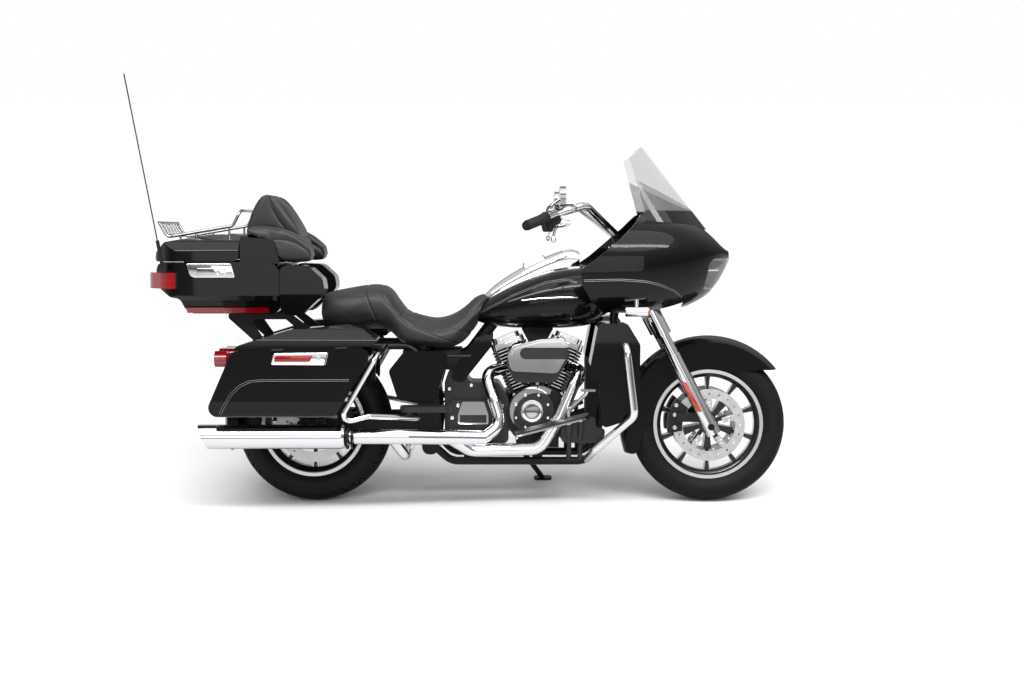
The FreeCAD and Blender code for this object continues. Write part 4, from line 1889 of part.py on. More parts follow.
def backrest(box_body):
    outline = flat_outline(
        BACKREST_SHARES, BACKREST_ORIGIN[0], BACKREST_ORIGIN[2], BACKREST_SIZE[0], BACKREST_SIZE[2]
    )
    pad = side_prism(outline, -BACKREST_HALF_WIDTH, BACKREST_HALF_WIDTH, BACKREST_CORNER)
    arm_outline = flat_outline(
        ARMREST_SHARES, ARMREST_ORIGIN[0], ARMREST_ORIGIN[2], ARMREST_SIZE[0], ARMREST_SIZE[2]
    )
    arm = side_prism(arm_outline, ARMREST_INNER_Y, ARMREST_INNER_Y + ARMREST_WIDTH, ARMREST_CORNER)
    low = ARMREST_ORIGIN[2]
    high = low + ARMREST_SIZE[2]
    section = [
        (ARMREST_INNER_Y, low), (ARMREST_INNER_Y + ARMREST_WIDTH, low),
        (ARMREST_INNER_Y + ARMREST_WIDTH, high),
        (ARMREST_INNER_Y, high),
    ]
    end_x = ARMREST_ORIGIN[0] + ARMREST_SIZE[0]
    arm = arm.common(front_prism(section, ARMREST_ORIGIN[0], end_x, ARMREST_FRONT_CORNER))
    return Part.makeCompound([pad, arm, mirrored(arm)]).cut(box_body)


def outside_box(shape, box_body):
    return shape.cut(box_plan(BOX_BOTTOM, BOX_BOTTOM + BOX_HEIGHT, BOX_WALL / 2)).cut(box_body)


def top_box_lamps(box_body):
    wrap = box(
        (BOX_REAR_X - LAMP_WRAP_SKIN, LAMP_WRAP_INNER_Y, LAMP_WRAP_Z),
        (LAMP_WRAP_LENGTH, BOX_HALF_WIDTH + LAMP_WRAP_SKIN - LAMP_WRAP_INNER_Y, LAMP_WRAP_HEIGHT),
    )
    wrap = wrap.common(box_plan(LAMP_WRAP_Z, LAMP_WRAP_Z + LAMP_WRAP_HEIGHT, -LAMP_WRAP_SKIN))
    side, front, bulkhead = box_outlines()
    skin = inset_outline(front, [-SIDE_REFLECTOR_SKIN] * len(front))
    x_to = BOX_REAR_X + BOX_LENGTH
    strip = box(SIDE_REFLECTOR_ORIGIN, SIDE_REFLECTOR_SIZE)
    strip = strip.common(front_prism(skin, BOX_REAR_X, x_to, 0)).cut(front_prism(front, BOX_REAR_X, x_to, 0))
    return Part.makeCompound([pair(outside_box(wrap, box_body)), pair(strip)])


def antenna(box_body):
    start = (ANTENNA_X - ANTENNA_BRACKET[0] / 2, ANTENNA_Y - ANTENNA_BRACKET_MARGIN, ANTENNA_BRACKET_Z)
    bracket = outside_box(box(start, ANTENNA_BRACKET), box_body)
    foot = point(ANTENNA_X, ANTENNA_Y, ANTENNA_BRACKET_Z + ANTENNA_BRACKET[2] / 2)
    rake = math.radians(ANTENNA_RAKE_DEG)
    heading = point(-math.sin(rake), 0, math.cos(rake))
    base = rod(foot, foot + heading * ANTENNA_BASE_LENGTH, ANTENNA_BASE_RADIUS)
    mast = rod(foot, foot + heading * (ANTENNA_BASE_LENGTH + ANTENNA_ROD_LENGTH), ANTENNA_ROD_RADIUS)
    return fused([bracket, base, mast])


def tail_lamps(fender):
    outline = [
        (-TAIL_LAMP_HALF, TAIL_LAMP_BOTTOM), (TAIL_LAMP_HALF, TAIL_LAMP_BOTTOM),
        (TAIL_LAMP_HALF, TAIL_LAMP_BOTTOM + TAIL_LAMP_HEIGHT),
        (-TAIL_LAMP_HALF, TAIL_LAMP_BOTTOM + TAIL_LAMP_HEIGHT),
    ]
    lamp = front_prism(outline, TAIL_LAMP_REAR_X, -REAR_FENDER_RADIUS / 2, TAIL_LAMP_CORNER)
    hollow = moved(across(REAR_FENDER_RADIUS, 0, 0, -OVERRUN * 2, OVERRUN * 2), 0, 0, REAR_FENDER_Z)
    middle_z = TAIL_LAMP_BOTTOM + TAIL_LAMP_HEIGHT / 2
    pieces = [lamp.cut(hollow)]
    for side in (-1, 1):
        start = point(TAIL_LAMP_REAR_X, side * SIGNAL_Y, middle_z)
        pieces.append(rod(start, start + X_AXIS * SIGNAL_LENGTH, SIGNAL_RADIUS))
        stalk = start + X_AXIS * (SIGNAL_LENGTH / 2)
        pieces.append(rod(stalk, point(stalk.x, side * TAIL_LAMP_HALF / 2, middle_z), SIGNAL_BAR_RADIUS))
    return fused(pieces).cut(fender)


def plate_holder():
    plate = box(
        (PLATE_HOLDER_X, -PLATE_HOLDER_SIZE[1] / 2, PLATE_HOLDER_Z), PLATE_HOLDER_SIZE
    )
    middle_z = PLATE_HOLDER_Z + PLATE_HOLDER_SIZE[2] / 2
    arm = rod(point(PLATE_HOLDER_X, 0, middle_z), point(0, 0, middle_z), SIGNAL_BAR_RADIUS)
    inner = REAR_FENDER_RADIUS - FENDER_THICK
    hollow = moved(across(inner, 0, 0, -OVERRUN * 2, OVERRUN * 2), 0, 0, REAR_FENDER_Z)
    return fused([plate, arm]).cut(hollow)


def fairing_body(inset):
    return body_loft(
        FAIRING_SHARES, FAIRING_REAR_X, FAIRING_LENGTH, FAIRING_BOTTOM, FAIRING_HEIGHT, FAIRING_HALF_WIDTH,
        FAIRING_POWER, inset,
    )


def lamp_window():
    top = LAMP_WINDOW_Z + LAMP_WINDOW_HEIGHT
    outline = [
        (-LAMP_WINDOW_HALF, LAMP_WINDOW_Z), (LAMP_WINDOW_HALF, LAMP_WINDOW_Z), (LAMP_WINDOW_HALF, top),
        (-LAMP_WINDOW_HALF, top),
    ]
    end = FAIRING_REAR_X + FAIRING_LENGTH + OVERRUN
    return front_prism(outline, LAMP_WINDOW_REAR_X, end, LAMP_WINDOW_CORNER)


def fairing_shell(outer, cavity):
    outline = flat_outline(
        FAIRING_SIDE_SHARES, FAIRING_REAR_X, FAIRING_BOTTOM, FAIRING_LENGTH, FAIRING_HEIGHT
    )
    half = FAIRING_HALF_WIDTH + OVERRUN
    trim = side_prism(outline, -half, half, FAIRING_CORNER)
    return outer.cut(cavity).common(trim)


def fairing_outer(shell):
    well = box(
        (FAIRING_REAR_X - OVERRUN, -FORK_WELL_HALF, FAIRING_BOTTOM - OVERRUN),
        (FORK_WELL_FRONT_X - FAIRING_REAR_X + OVERRUN, 2 * FORK_WELL_HALF,
        FORK_WELL_TOP - FAIRING_BOTTOM + OVERRUN),
    )
    return trimmed(shell, [well, lamp_window()])


def headlamp_lens(shell):
    return shell.common(lamp_window())


def headlamps(cavity):
    middle_z = LAMP_WINDOW_Z + LAMP_WINDOW_HEIGHT / 2
    end = FAIRING_REAR_X + FAIRING_LENGTH
    lamps = []
    for side in (-LAMP_UNIT_Y, LAMP_UNIT_Y):
        lamps.append(
            rod(point(LAMP_UNIT_REAR_X, side, middle_z), point(end, side, middle_z), LAMP_UNIT_RADIUS)
        )
    return Part.makeCompound([lamp.common(cavity) for lamp in lamps])


def dash(cavity):
    ahead = DASH_AHEAD / math.cos(math.radians(RAKE_DEG))
    low = steer_point(DASH_BOTTOM)
    high = steer_point(DASH_TOP)
    start = low.x + ahead
    end = high.x + ahead
    thick = DASH_THICK
    outline = [(start, low.z), (start + thick, low.z), (end + thick, high.z), (end, high.z)]
    half = FAIRING_HALF_WIDTH + OVERRUN
    return fused([side_prism(outline, -half, half, 0).common(cavity)] + gauges())


def gauges():
    ahead = DASH_AHEAD / math.cos(math.radians(RAKE_DEG))
    backward = point(-math.cos(math.radians(RAKE_DEG)), 0, -math.sin(math.radians(RAKE_DEG)))
    dials = []
    for y_share, z_share, large in GAUGE_SHARES:
        z = DASH_BOTTOM + (DASH_TOP - DASH_BOTTOM) * z_share
        centre = steer_point(z) + point(ahead, FAIRING_HALF_WIDTH * y_share, 0) - backward * (DASH_THICK / 2)
        radius = GAUGE_RADIUS if large else GAUGE_SMALL_RADIUS
        dial = Part.makeCylinder(radius, GAUGE_DEPTH + DASH_THICK / 2, centre, backward)
        dials += [dial, mirrored(dial)]
    return dials


def windscreen(outer):
    def arc_wire(x, half, depth, z):
        def bow(trim):
            ends = half - trim
            return Part.Arc(point(x, -ends, z), point(x + depth - trim, 0, z), point(x, ends, z)).toShape()
        front = bow(0)
        rear = bow(SCREEN_THICK)
        ends = half - SCREEN_THICK
        return Part.Wire([
            front, Part.makeLine(point(x, half, z), point(x, ends, z)), rear,
            Part.makeLine(point(x, -ends, z), point(x, -half, z)),
        ])

    low = arc_wire(SCREEN_BASE_X, SCREEN_BASE_HALF, SCREEN_BASE_DEPTH, SCREEN_BASE_Z)
    high = arc_wire(SCREEN_TOP_X, SCREEN_TOP_HALF, SCREEN_TOP_DEPTH, SCREEN_BASE_Z + SCREEN_HEIGHT)
    sheet = Part.makeLoft([low, high], True, True)
    front = flat_outline(SCREEN_FRONT_SHARES, 0, SCREEN_BASE_Z, SCREEN_BASE_HALF, SCREEN_HEIGHT)
    keep = front_prism(
        front, SCREEN_TOP_X - OVERRUN, SCREEN_BASE_X + SCREEN_BASE_DEPTH + OVERRUN, SCREEN_CORNER
    )
    return sheet.common(keep).cut(outer)


def front_signals(outer):
    centre = point(FRONT_SIGNAL_REAR_X, FRONT_SIGNAL_Y, FRONT_SIGNAL_Z)
    bullet = rod(centre, centre + X_AXIS * FRONT_SIGNAL_LENGTH, FRONT_SIGNAL_RADIUS)
    middle = centre + X_AXIS * (FRONT_SIGNAL_LENGTH / 2)
    stalk = rod(middle, middle + Z_AXIS * (FAIRING_HEIGHT / 2), FRONT_SIGNAL_STALK)
    return pair(fused([bullet, stalk.cut(outer)]))


def engine_guard(frame_body):
    points = in_box(GUARD_SHARES, GUARD_ORIGIN, GUARD_SIZE)
    return pair(tube(points, GUARD_RADIUS, GUARD_BEND)).cut(frame_body)


def leg_fairing_blank(inset):
    side = flat_outline(
        LEG_FAIRING_SHARES, LEG_FAIRING_ORIGIN[0], LEG_FAIRING_ORIGIN[2], LEG_FAIRING_SIZE[0], LEG_FAIRING_SIZE[
            2
        ]
    )
    plan = flat_outline(
        LEG_FAIRING_PLAN_SHARES, LEG_FAIRING_ORIGIN[0], LEG_FAIRING_ORIGIN[1], LEG_FAIRING_SIZE[0], LEG_FAIRING_SIZE[
            1
        ]
    )
    side_insets = [inset] * len(side)
    plan_insets = [inset] * len(plan)
    if inset:
        plan_insets[0] = -OVERRUN
        plan_insets[5] = -OVERRUN
    y_from = LEG_FAIRING_ORIGIN[1] - 2 * OVERRUN
    y_to = LEG_FAIRING_ORIGIN[1] + LEG_FAIRING_SIZE[1]
    solid = side_prism(inset_outline(side, side_insets), y_from, y_to, LEG_FAIRING_CORNER - inset)
    z_from = LEG_FAIRING_ORIGIN[2] - OVERRUN
    z_to = LEG_FAIRING_ORIGIN[2] + LEG_FAIRING_SIZE[2] + OVERRUN
    return solid.common(plan_prism(inset_outline(plan, plan_insets), z_from, z_to, 0))


def leg_fairings(guard):
    shell = leg_fairing_blank(0).cut(leg_fairing_blank(LEG_FAIRING_WALL))
    return pair(shell).cut(guard)


def board_blank(origin, size, corner):
    outline = [
        (origin[0], origin[1]), (origin[0] + size[0], origin[1]), (origin[0] + size[0], origin[1] + size[1]),
        (origin[0], origin[1] + size[1]),
    ]
    return plan_prism(outline, origin[2], origin[2] + size[2], corner)


def floorboards(solid_parts):
    board = board_blank(BOARD_ORIGIN, BOARD_SIZE, BOARD_CORNER)
    board = turned(board, point(BOARD_ORIGIN[0], 0, BOARD_ORIGIN[2]), Y_AXIS, -BOARD_TILT_DEG)
    rail_y = CRADLE_ORIGIN[1] + CRADLE_SHARES[3][1] * CRADLE_SIZE[1]
    plate_outline = flat_outline(
        BOARD_PLATE_SHARES, BOARD_PLATE_ORIGIN[0], BOARD_PLATE_ORIGIN[2], BOARD_PLATE_SIZE[0], BOARD_PLATE_SIZE[
            2
        ]
    )
    plate = side_prism(
        plate_outline, BOARD_PLATE_ORIGIN[1], BOARD_PLATE_ORIGIN[1] + BOARD_PLATE_SIZE[1], BOARD_PLATE_CORNER
    )
    pieces = [board, plate]
    for x in BOARD_STRUT_XS:
        rise = (x - BOARD_ORIGIN[0]) * math.tan(math.radians(BOARD_TILT_DEG)) + BOARD_SIZE[2] / 2
        pieces.append(rod(
            point(x, rail_y, CRADLE_ORIGIN[2]), point(x, rail_y + BOARD_STRUT_OUT, BOARD_ORIGIN[2] + rise),
            BOARD_STRUT_RADIUS,
        ))
    return pair(fused(pieces)).cut(solid_parts)


def passenger_boards():
    board = board_blank(REAR_BOARD_ORIGIN, REAR_BOARD_SIZE, REAR_BOARD_CORNER)
    start = PLATE_INNER_Y + PLATE_THICK
    arm = box(
        (PIVOT_X, start, REAR_BOARD_ORIGIN[2]),
        (REAR_BOARD_ARM[0], REAR_BOARD_ORIGIN[1] + REAR_BOARD_ARM[0] - start, REAR_BOARD_ARM[1]),
    )
    return pair(fused([board, arm]))


def foot_controls(boards):
    points = in_box(PEDAL_SHARES, PEDAL_ORIGIN, PEDAL_SIZE)
    arm = tube(points, PEDAL_RADIUS, PEDAL_BEND)
    end = points[-1]
    pad = box((end.x - PEDAL_PAD[0] / 2, end.y - PEDAL_PAD[1] / 2, end.z - PEDAL_PAD[2] / 2), PEDAL_PAD)
    return pair(fused([arm, pad])).cut(boards)


def stand_pin_ends():
    pivot = point(*STAND_PIVOT)
    axis = point(*STAND_AXIS)
    axis.normalize()
    return pivot, pivot + axis * STAND_PIN_LENGTH


def stand_foot():
    outline = [
        (STAND_FOOT_X - STAND_FOOT_SIZE[0] / 2, STAND_FOOT_Y - STAND_FOOT_SIZE[1] / 2),
        (STAND_FOOT_X + STAND_FOOT_SIZE[0] / 2, STAND_FOOT_Y - STAND_FOOT_SIZE[1] / 2),
        (STAND_FOOT_X + STAND_FOOT_SIZE[0] / 2, STAND_FOOT_Y + STAND_FOOT_SIZE[1] / 2),
        (STAND_FOOT_X - STAND_FOOT_SIZE[0] / 2, STAND_FOOT_Y + STAND_FOOT_SIZE[1] / 2),
    ]
    plate = plan_prism(outline, 0, STAND_FOOT_SIZE[2], STAND_FOOT_CORNER)
    return turned(moved(plate, 0, 0, -LEAN_RISE), CENTRE, X_AXIS, LEAN_DEG)


def side_stand():
    pivot = point(*STAND_PIVOT)
    axis = point(*STAND_AXIS)
    axis.normalize()
    boss_start = pivot + axis * STAND_BOSS_START
    boss = Part.makeCylinder(STAND_BOSS_RADIUS, STAND_BOSS_LENGTH, boss_start, axis)
    plate = stand_foot()
    foot = plate.CenterOfMass
    middle = boss_start + axis * (STAND_BOSS_LENGTH / 2)
    leg = rod(middle, foot, STAND_RADIUS)
    ground = turned(
        moved(box((0, -WHEELBASE, -WHEELBASE), (WHEELBASE, 2 * WHEELBASE, WHEELBASE)), 0, 0, -LEAN_RISE),
        CENTRE, X_AXIS,
        LEAN_DEG,
    )
    bore = Part.makeCylinder(
        STAND_PIN_RADIUS + RUNNING_GAP, STAND_PIN_LENGTH * 2, pivot - axis * (STAND_PIN_LENGTH / 2), axis
    )
    return fused([boss, leg, plate]).cut(bore).cut(ground)


def parked(shape):
    leaned = turned(shape, CENTRE, X_AXIS, -LEAN_DEG)
    return moved(leaned, 0, 0, LEAN_RISE)


def bike():
    nodes = {}
    legs = fork_legs()
    bar = handlebar()
    controls = hand_controls(bar)
    nodes["fork_legs"] = legs
    nodes["fork_yokes"] = fork_yokes(legs, bar)
    nodes["handlebar"] = bar
    nodes["grips"] = grips(bar)
    nodes["hand_controls"] = controls
    nodes["mirrors"] = mirror_heads([controls, bar])
    nodes["front_fender"] = front_fender(legs)
    nodes["front_calipers"] = front_calipers(legs)
    nodes["front_tyre"] = front_tyre()
    nodes["front_wheel"] = front_wheel()
    nodes["front_discs"] = front_discs()
    nodes["rear_tyre"] = rear_tyre()
    nodes["rear_wheel"] = rear_wheel()
    nodes["rear_disc_and_pulley"] = Part.makeCompound([rear_disc(), rear_pulley()])
    nodes["side_stand"] = side_stand()
    case = crankcase()
    gears = gearbox()
    arms = swingarm()
    chassis = frame()
    fender = rear_fender()
    tank = fuel_tank(chassis)
    nodes["crankcase"] = case.cut(gears)
    nodes["transmission"] = gears
    nodes["swingarm"] = arms
    nodes["frame"] = trimmed(chassis, [case, gears, arms])
    nodes["rear_fender"] = fused([fender, plate_holder()])
    nodes["fuel_tank"] = tank
    nodes["rear_shocks"] = rear_shocks()
    nodes["rear_caliper"] = rear_caliper(arms)
    nodes["drive_belt"] = drive_belt()
    cylinders = Part.makeCompound([cylinder(-ENGINE_V_DEG, case), cylinder(ENGINE_V_DEG, case)])
    nodes["cylinders"] = cylinders
    nodes["rocker_covers"] = rocker_covers()
    lifters = [lifter_block(lean, case) for lean in (-ENGINE_V_DEG, ENGINE_V_DEG)]
    nodes["cam_cover"] = fused([cam_cover(case)] + lifters + pushrod_tubes(case))
    nodes["battery_and_cooler"] = battery_and_cooler(chassis, tank)
    nodes["air_cleaner"] = air_cleaner(cylinders)
    nodes["primary_cover"] = primary_cover()
    nodes["mufflers"] = mufflers()
    nodes["exhaust_pipes"] = exhaust_pipes([nodes["mufflers"], cylinders])
    nodes["tank_console"] = tank_console(tank_body())
    nodes["fuel_door"] = fuel_door()
    nodes["seat"] = seat([tank_body(), nodes["tank_console"], nodes["frame"]])
    nodes["side_covers"] = side_covers()
    nodes["saddlebag_right"] = mirrored(saddlebag())
    nodes["saddlebag_left"] = saddlebag()
    nodes["bag_lid_right"] = mirrored(bag_lid())
    nodes["bag_lid_left"] = bag_lid()
    box_body = top_box_blank()
    nodes["top_box"] = top_box(box_body)
    nodes["top_box_lid"] = top_box_lid()
    nodes["luggage_rack"] = luggage_rack(box_lid_blank(0))
    nodes["top_box_support"] = pair(top_box_support()).cut(nodes["frame"])
    nodes["bag_guards"] = bag_guards([nodes["frame"], nodes["side_covers"]])
    nodes["speaker_pods"] = speaker_pods()
    nodes["backrest"] = backrest(box_body)
    nodes["antenna"] = antenna(box_body)
    nodes["rear_lamps"] = Part.makeCompound([tail_lamps(fender), top_box_lamps(box_body)])
    outer = fairing_body(0)
    cavity = fairing_body(FAIRING_WALL)
    shell = fairing_shell(outer, cavity)
    nodes["fairing"] = fairing_outer(shell)
    nodes["headlamp_lens"] = headlamp_lens(shell)
    nodes["headlamps"] = headlamps(cavity)
    nodes["dash"] = dash(cavity)
    nodes["windscreen"] = windscreen(outer)
    nodes["front_signals"] = front_signals(outer)
    guard = engine_guard(nodes["frame"])
    nodes["engine_guard"] = guard
    nodes["leg_fairings"] = leg_fairings(guard)
    boards = floorboards(nodes["frame"])
    nodes["floorboards"] = Part.makeCompound([boards, passenger_boards()])
    nodes["foot_controls"] = foot_controls(boards)
    return nodes


def centre_shift(shapes):
    bounds = Part.makeCompound(shapes).optimalBoundingBox(False, False)
    return point(-(bounds.XMin + bounds.XMax) / 2, -(bounds.YMin + bounds.YMax) / 2, 0)


def build():
    os.makedirs("parts", exist_ok=True)
    nodes = {name: parked(shape) for name, shape in bike().items()}
    shift = centre_shift(list(nodes.values()))
    for name, shape in nodes.items():
        moved(shape, shift.x, shift.y, shift.z).exportStep(os.path.join("parts", name + ".step"))


build()
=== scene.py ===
import json
import math
from contextlib import contextmanager

import bmesh
import bpy
from mathutils import Matrix, Vector
from mathutils.geometry import intersect_point_line

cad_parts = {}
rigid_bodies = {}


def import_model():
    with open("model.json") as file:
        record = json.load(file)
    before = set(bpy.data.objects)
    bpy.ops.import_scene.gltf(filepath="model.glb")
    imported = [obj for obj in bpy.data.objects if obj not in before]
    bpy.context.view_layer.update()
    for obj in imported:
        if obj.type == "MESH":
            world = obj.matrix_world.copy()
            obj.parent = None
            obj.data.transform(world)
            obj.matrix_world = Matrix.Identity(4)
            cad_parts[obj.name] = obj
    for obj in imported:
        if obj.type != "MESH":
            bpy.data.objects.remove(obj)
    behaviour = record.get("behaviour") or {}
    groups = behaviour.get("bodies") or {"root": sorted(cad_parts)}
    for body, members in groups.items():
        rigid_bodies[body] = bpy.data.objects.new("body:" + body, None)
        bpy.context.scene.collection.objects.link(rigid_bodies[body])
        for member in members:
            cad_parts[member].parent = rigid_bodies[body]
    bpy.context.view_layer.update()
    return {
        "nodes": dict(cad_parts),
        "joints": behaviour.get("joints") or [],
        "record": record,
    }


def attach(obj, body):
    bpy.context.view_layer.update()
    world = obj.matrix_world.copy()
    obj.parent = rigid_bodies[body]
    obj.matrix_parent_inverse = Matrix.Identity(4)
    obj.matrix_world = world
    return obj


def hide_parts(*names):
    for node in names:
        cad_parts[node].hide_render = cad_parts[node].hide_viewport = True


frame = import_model()

bl_info = {
    "name": "Touring cruiser dresser",
    "version": (1, 0, 0),
    "blender": (4, 5, 0),
    "location": "View3D > Sidebar > Touring cruiser",
    "description": "Paint, chrome, leather, lamps, tread and trim for a parked touring cruiser motorcycle",
    "category": "Object",
}

# The bike leans on its stand. New pieces are modelled upright, X forward from the rear axle, and then parked.
JOINTS = {joint["name"]: joint for joint in frame["joints"]}
REAR_AXLE = Vector(JOINTS["rear_wheel_turn"]["pos_m"])
FRONT_AXLE = Vector(JOINTS["front_wheel_turn"]["pos_m"])
AXLE_LINE = Vector(JOINTS["rear_wheel_turn"]["axis"])
LEAN = math.atan2(-AXLE_LINE.z, AXLE_LINE.y)
WHEELBASE = FRONT_AXLE.x - REAR_AXLE.x
TYRE_RADIUS = 0.32
UPRIGHT_AXLE = Vector((0, 0, TYRE_RADIUS))
PARK = Matrix.Translation(REAR_AXLE) @ Matrix.Rotation(-LEAN, 4, "X") @ Matrix.Translation(-UPRIGHT_AXLE)
UNPARK = PARK.inverted()
SLOT_OF = {part["node"]: part["material_slot"] for part in frame["record"]["subparts"]}
ORIGIN = (0, 0, 0)
RIGHT = -1
LEFT = 1
HANDS = (("right", RIGHT), ("left", LEFT))
TURNED = Matrix.Rotation(math.pi, 4, "Z")

# Faces that meet at less than an edge angle shade as one; the bevels start at another.
HARD_EDGE = math.radians(35)
SOFT_EDGE = math.radians(60)
BEVEL_FROM = math.radians(50)

# How near points merge, how far bolt heads stand off their skin and how far apart double stripes run.
MERGE = 0.00002
SEATED = 0.001
STRIPE_PAIR = ((0.0, "upper"), (-0.0062, "lower"))

# Centres of the crankshaft and of the round timer cover beside it.
CRANK_X, CRANK_Z = 0.92, 0.361
TIMER_X, TIMER_Z = 0.897, 0.386


def length_setting(name, description, metres):
    return bpy.props.FloatProperty(name=name, description=description, default=metres, unit="LENGTH")


def colour_setting(name, description, tone):
    return bpy.props.FloatVectorProperty(
        name=name, description=description, default=tone, subtype="COLOR", size=3
    )


class CruiserSizes(bpy.types.PropertyGroup):
    camera_distance: length_setting("Camera distance", "From the bike's middle plane to the camera", 6.5)
    camera_ahead: length_setting("Camera ahead", "How far the camera stands ahead of the rear axle", 0.816)
    camera_height: length_setting("Camera height", "Height above the tyres' lowest points", 1.108)
    camera_lens: bpy.props.FloatProperty(
        name="Lens", description="Focal length on a 36 mm wide sensor", default=55.3, unit="CAMERA"
    )
    camera_pitch: bpy.props.FloatProperty(
        name="Pitch", description="How far the camera looks down", default=math.radians(3.96), subtype="ANGLE"
    )
    floor_size: length_setting("Floor", "Side of the studio floor", 60.0)


class CruiserColours(bpy.types.PropertyGroup):
    paint: colour_setting("Paint", "Gloss body paint", (0.0028, 0.0028, 0.0031))
    leather: colour_setting("Leather", "Seat and backrest cover", (0.013, 0.013, 0.0135))
    chrome: colour_setting("Chrome", "Plated parts", (0.82, 0.83, 0.85))
    red: colour_setting("Red lens", "Tail lamps and red reflectors", (0.22, 0.001, 0.004))
    amber: colour_setting("Amber lens", "Turn signals and fork reflectors", (0.34, 0.022, 0.002))


class Signal:
    """A shader socket: arithmetic on it adds Math nodes."""

    def __init__(self, graph, socket):
        self.graph = graph
        self.socket = socket

    def math(self, operation, *others):
        return self.graph.node("ShaderNodeMath", {"operation": operation}, (self,) + others)

    def __add__(self, other):
        return self.math("ADD", other)

    def __radd__(self, other):
        return self.math("ADD", other)

    def __sub__(self, other):
        return self.math("SUBTRACT", other)

    def __rsub__(self, other):
        return self.graph.node("ShaderNodeMath", {"operation": "SUBTRACT"}, (other, self))

    def __mul__(self, other):
        return self.math("MULTIPLY", other)

    def __rmul__(self, other):
        return self.math("MULTIPLY", other)

    def __gt__(self, other):
        return self.math("GREATER_THAN", other)

    def __lt__(self, other):
        return self.math("LESS_THAN", other)

    def __abs__(self):
        return self.math("ABSOLUTE")

    def __mod__(self, other):
        return self.math("FLOORED_MODULO", other)


class Graph:
    """A material's or sky's node tree, with a method that adds any node and helpers for the common ones."""

    def __init__(self, name, kind="materials", output="ShaderNodeOutputMaterial"):
        self.owner = getattr(bpy.data, kind).new(name)
        self.owner.use_nodes = True
        self.tree = self.owner.node_tree
        self.tree.nodes.clear()
        self.output = self.tree.nodes.new(output)

    def node(self, kind, settings=None, sockets=(), output=0):
        added = self.tree.nodes.new(kind)
        for key, value in (settings or {}).items():
            if key == "stops":
                self.stops(added.color_ramp, value)
            else:
                setattr(added, key, value)
        pairs = sockets.items() if isinstance(sockets, dict) else enumerate(sockets)
        for key, value in pairs:
            if isinstance(value, Signal):
                self.tree.links.new(value.socket, added.inputs[key])
            else:
                added.inputs[key].default_value = value
        return Signal(self, added.outputs[output])

    def stops(self, ramp, stops):
        while len(ramp.elements) < len(stops):
            ramp.elements.new(0.5)
        for element, (place, colour) in zip(ramp.elements, stops):
            element.position = place
            element.color = colour

    def place(self):
        return self.node("ShaderNodeTexCoord", output="Object")

    def upright(self):
        """The place on the bike before it was leaned, as three signals in metres."""
        turn = UNPARK.to_euler()
        shift = UNPARK.to_translation()
        mapped = self.node("ShaderNodeMapping", {"vector_type": "POINT"}, {
            "Vector": self.place(), "Location": shift, "Rotation": turn,
        })
        parted = self.node("ShaderNodeSeparateXYZ", sockets=(mapped,)).socket.node
        return tuple(Signal(self, socket) for socket in parted.outputs)

    def noise(self, scale, detail=4.0, roughness=0.5, place=None):
        return self.node("ShaderNodeTexNoise", None, {
            "Vector": place or self.place(), "Scale": scale, "Detail": detail, "Roughness": roughness,
        })

    def cells(self, scale, feature="F1", output="Distance"):
        return self.node("ShaderNodeTexVoronoi", {"feature": feature}, {
            "Vector": self.place(), "Scale": scale,
        }, output)

    def blend(self, factor, first, second):
        return self.node("ShaderNodeMix", {"data_type": "RGBA"}, {0: factor, 6: first, 7: second}, 2)

    def bump(self, height, strength, distance):
        return self.node("ShaderNodeBump", None, {
            "Height": height, "Strength": strength, "Distance": distance,
        })

    def finish(self, **sockets):
        shader = self.node("ShaderNodeBsdfPrincipled", None, {
            key.replace("_", " "): value for key, value in sockets.items()
        })
        return self.shown(shader)

    def shown(self, shader):
        """Shows the shader and gives the material or sky."""
        self.tree.links.new(shader.socket, self.output.inputs["Surface"])
        return self.owner


def both(first, second):
    return first.math("MULTIPLY", second)


def either(first, second):
    return first.math("MAXIMUM", second)


def within(signal, low, high):
    return both(signal > low, signal < high)


def away(run, rise):
    """How far a place is from a centre, from its two distances along the axes."""
    return (run * run + rise * rise).math("SQRT")


def rgba(colour, gain=1.0):
    return (colour[0] * gain, colour[1] * gain, colour[2] * gain, 1.0)


def grey(tone):
    return (tone, tone, tone, 1.0)


def colours():
    return bpy.context.scene.cruiser_colours


def sizes():
    return bpy.context.scene.cruiser_sizes


def gloss_paint():
    graph = Graph("gloss_paint")
    flakes = graph.cells(1800.0, output="Color")
    haze = graph.noise(1.6, 2.0)
    base = graph.blend(haze * 0.5 + flakes * 0.25, rgba(colours().paint, 0.7), rgba(colours().paint, 1.8))
    return graph.finish(
        Base_Color=base, Roughness=0.3 + haze * 0.08, Specular_IOR_Level=0.05, Coat_Weight=0.85,
        Coat_IOR=1.33, Coat_Roughness=0.03, Normal=graph.bump(graph.noise(320.0, 1.0), 0.02, 0.0004),
    )


def satin_black(name, colour=0.005, roughness=0.38, grain=260.0, strength=0.08, shine=0.2):
    graph = Graph(name)
    dust = graph.noise(6.0, 5.0, 0.6)
    fine = graph.noise(grain, 2.0)
    bluish = (colour, colour, colour * 1.05)
    base = graph.blend(dust, rgba(bluish, 0.7), rgba(bluish, 1.5))
    return graph.finish(
        Base_Color=base, Roughness=roughness + dust * 0.12, Specular_IOR_Level=shine,
        Normal=graph.bump(fine, strength, 0.0006),
    )


def chrome(name="chrome_plate", gain=1.0, roughness=0.05):
    graph = Graph(name)
    smear = graph.noise(9.0, 4.0, 0.6)
    base = graph.blend(smear, rgba(colours().chrome, gain * 0.96), rgba(colours().chrome, gain * 1.04))
    return graph.finish(
        Base_Color=base, Metallic=1.0, Roughness=roughness + smear * 0.05,
        Normal=graph.bump(graph.noise(60.0, 2.0), 0.01, 0.0003),
    )


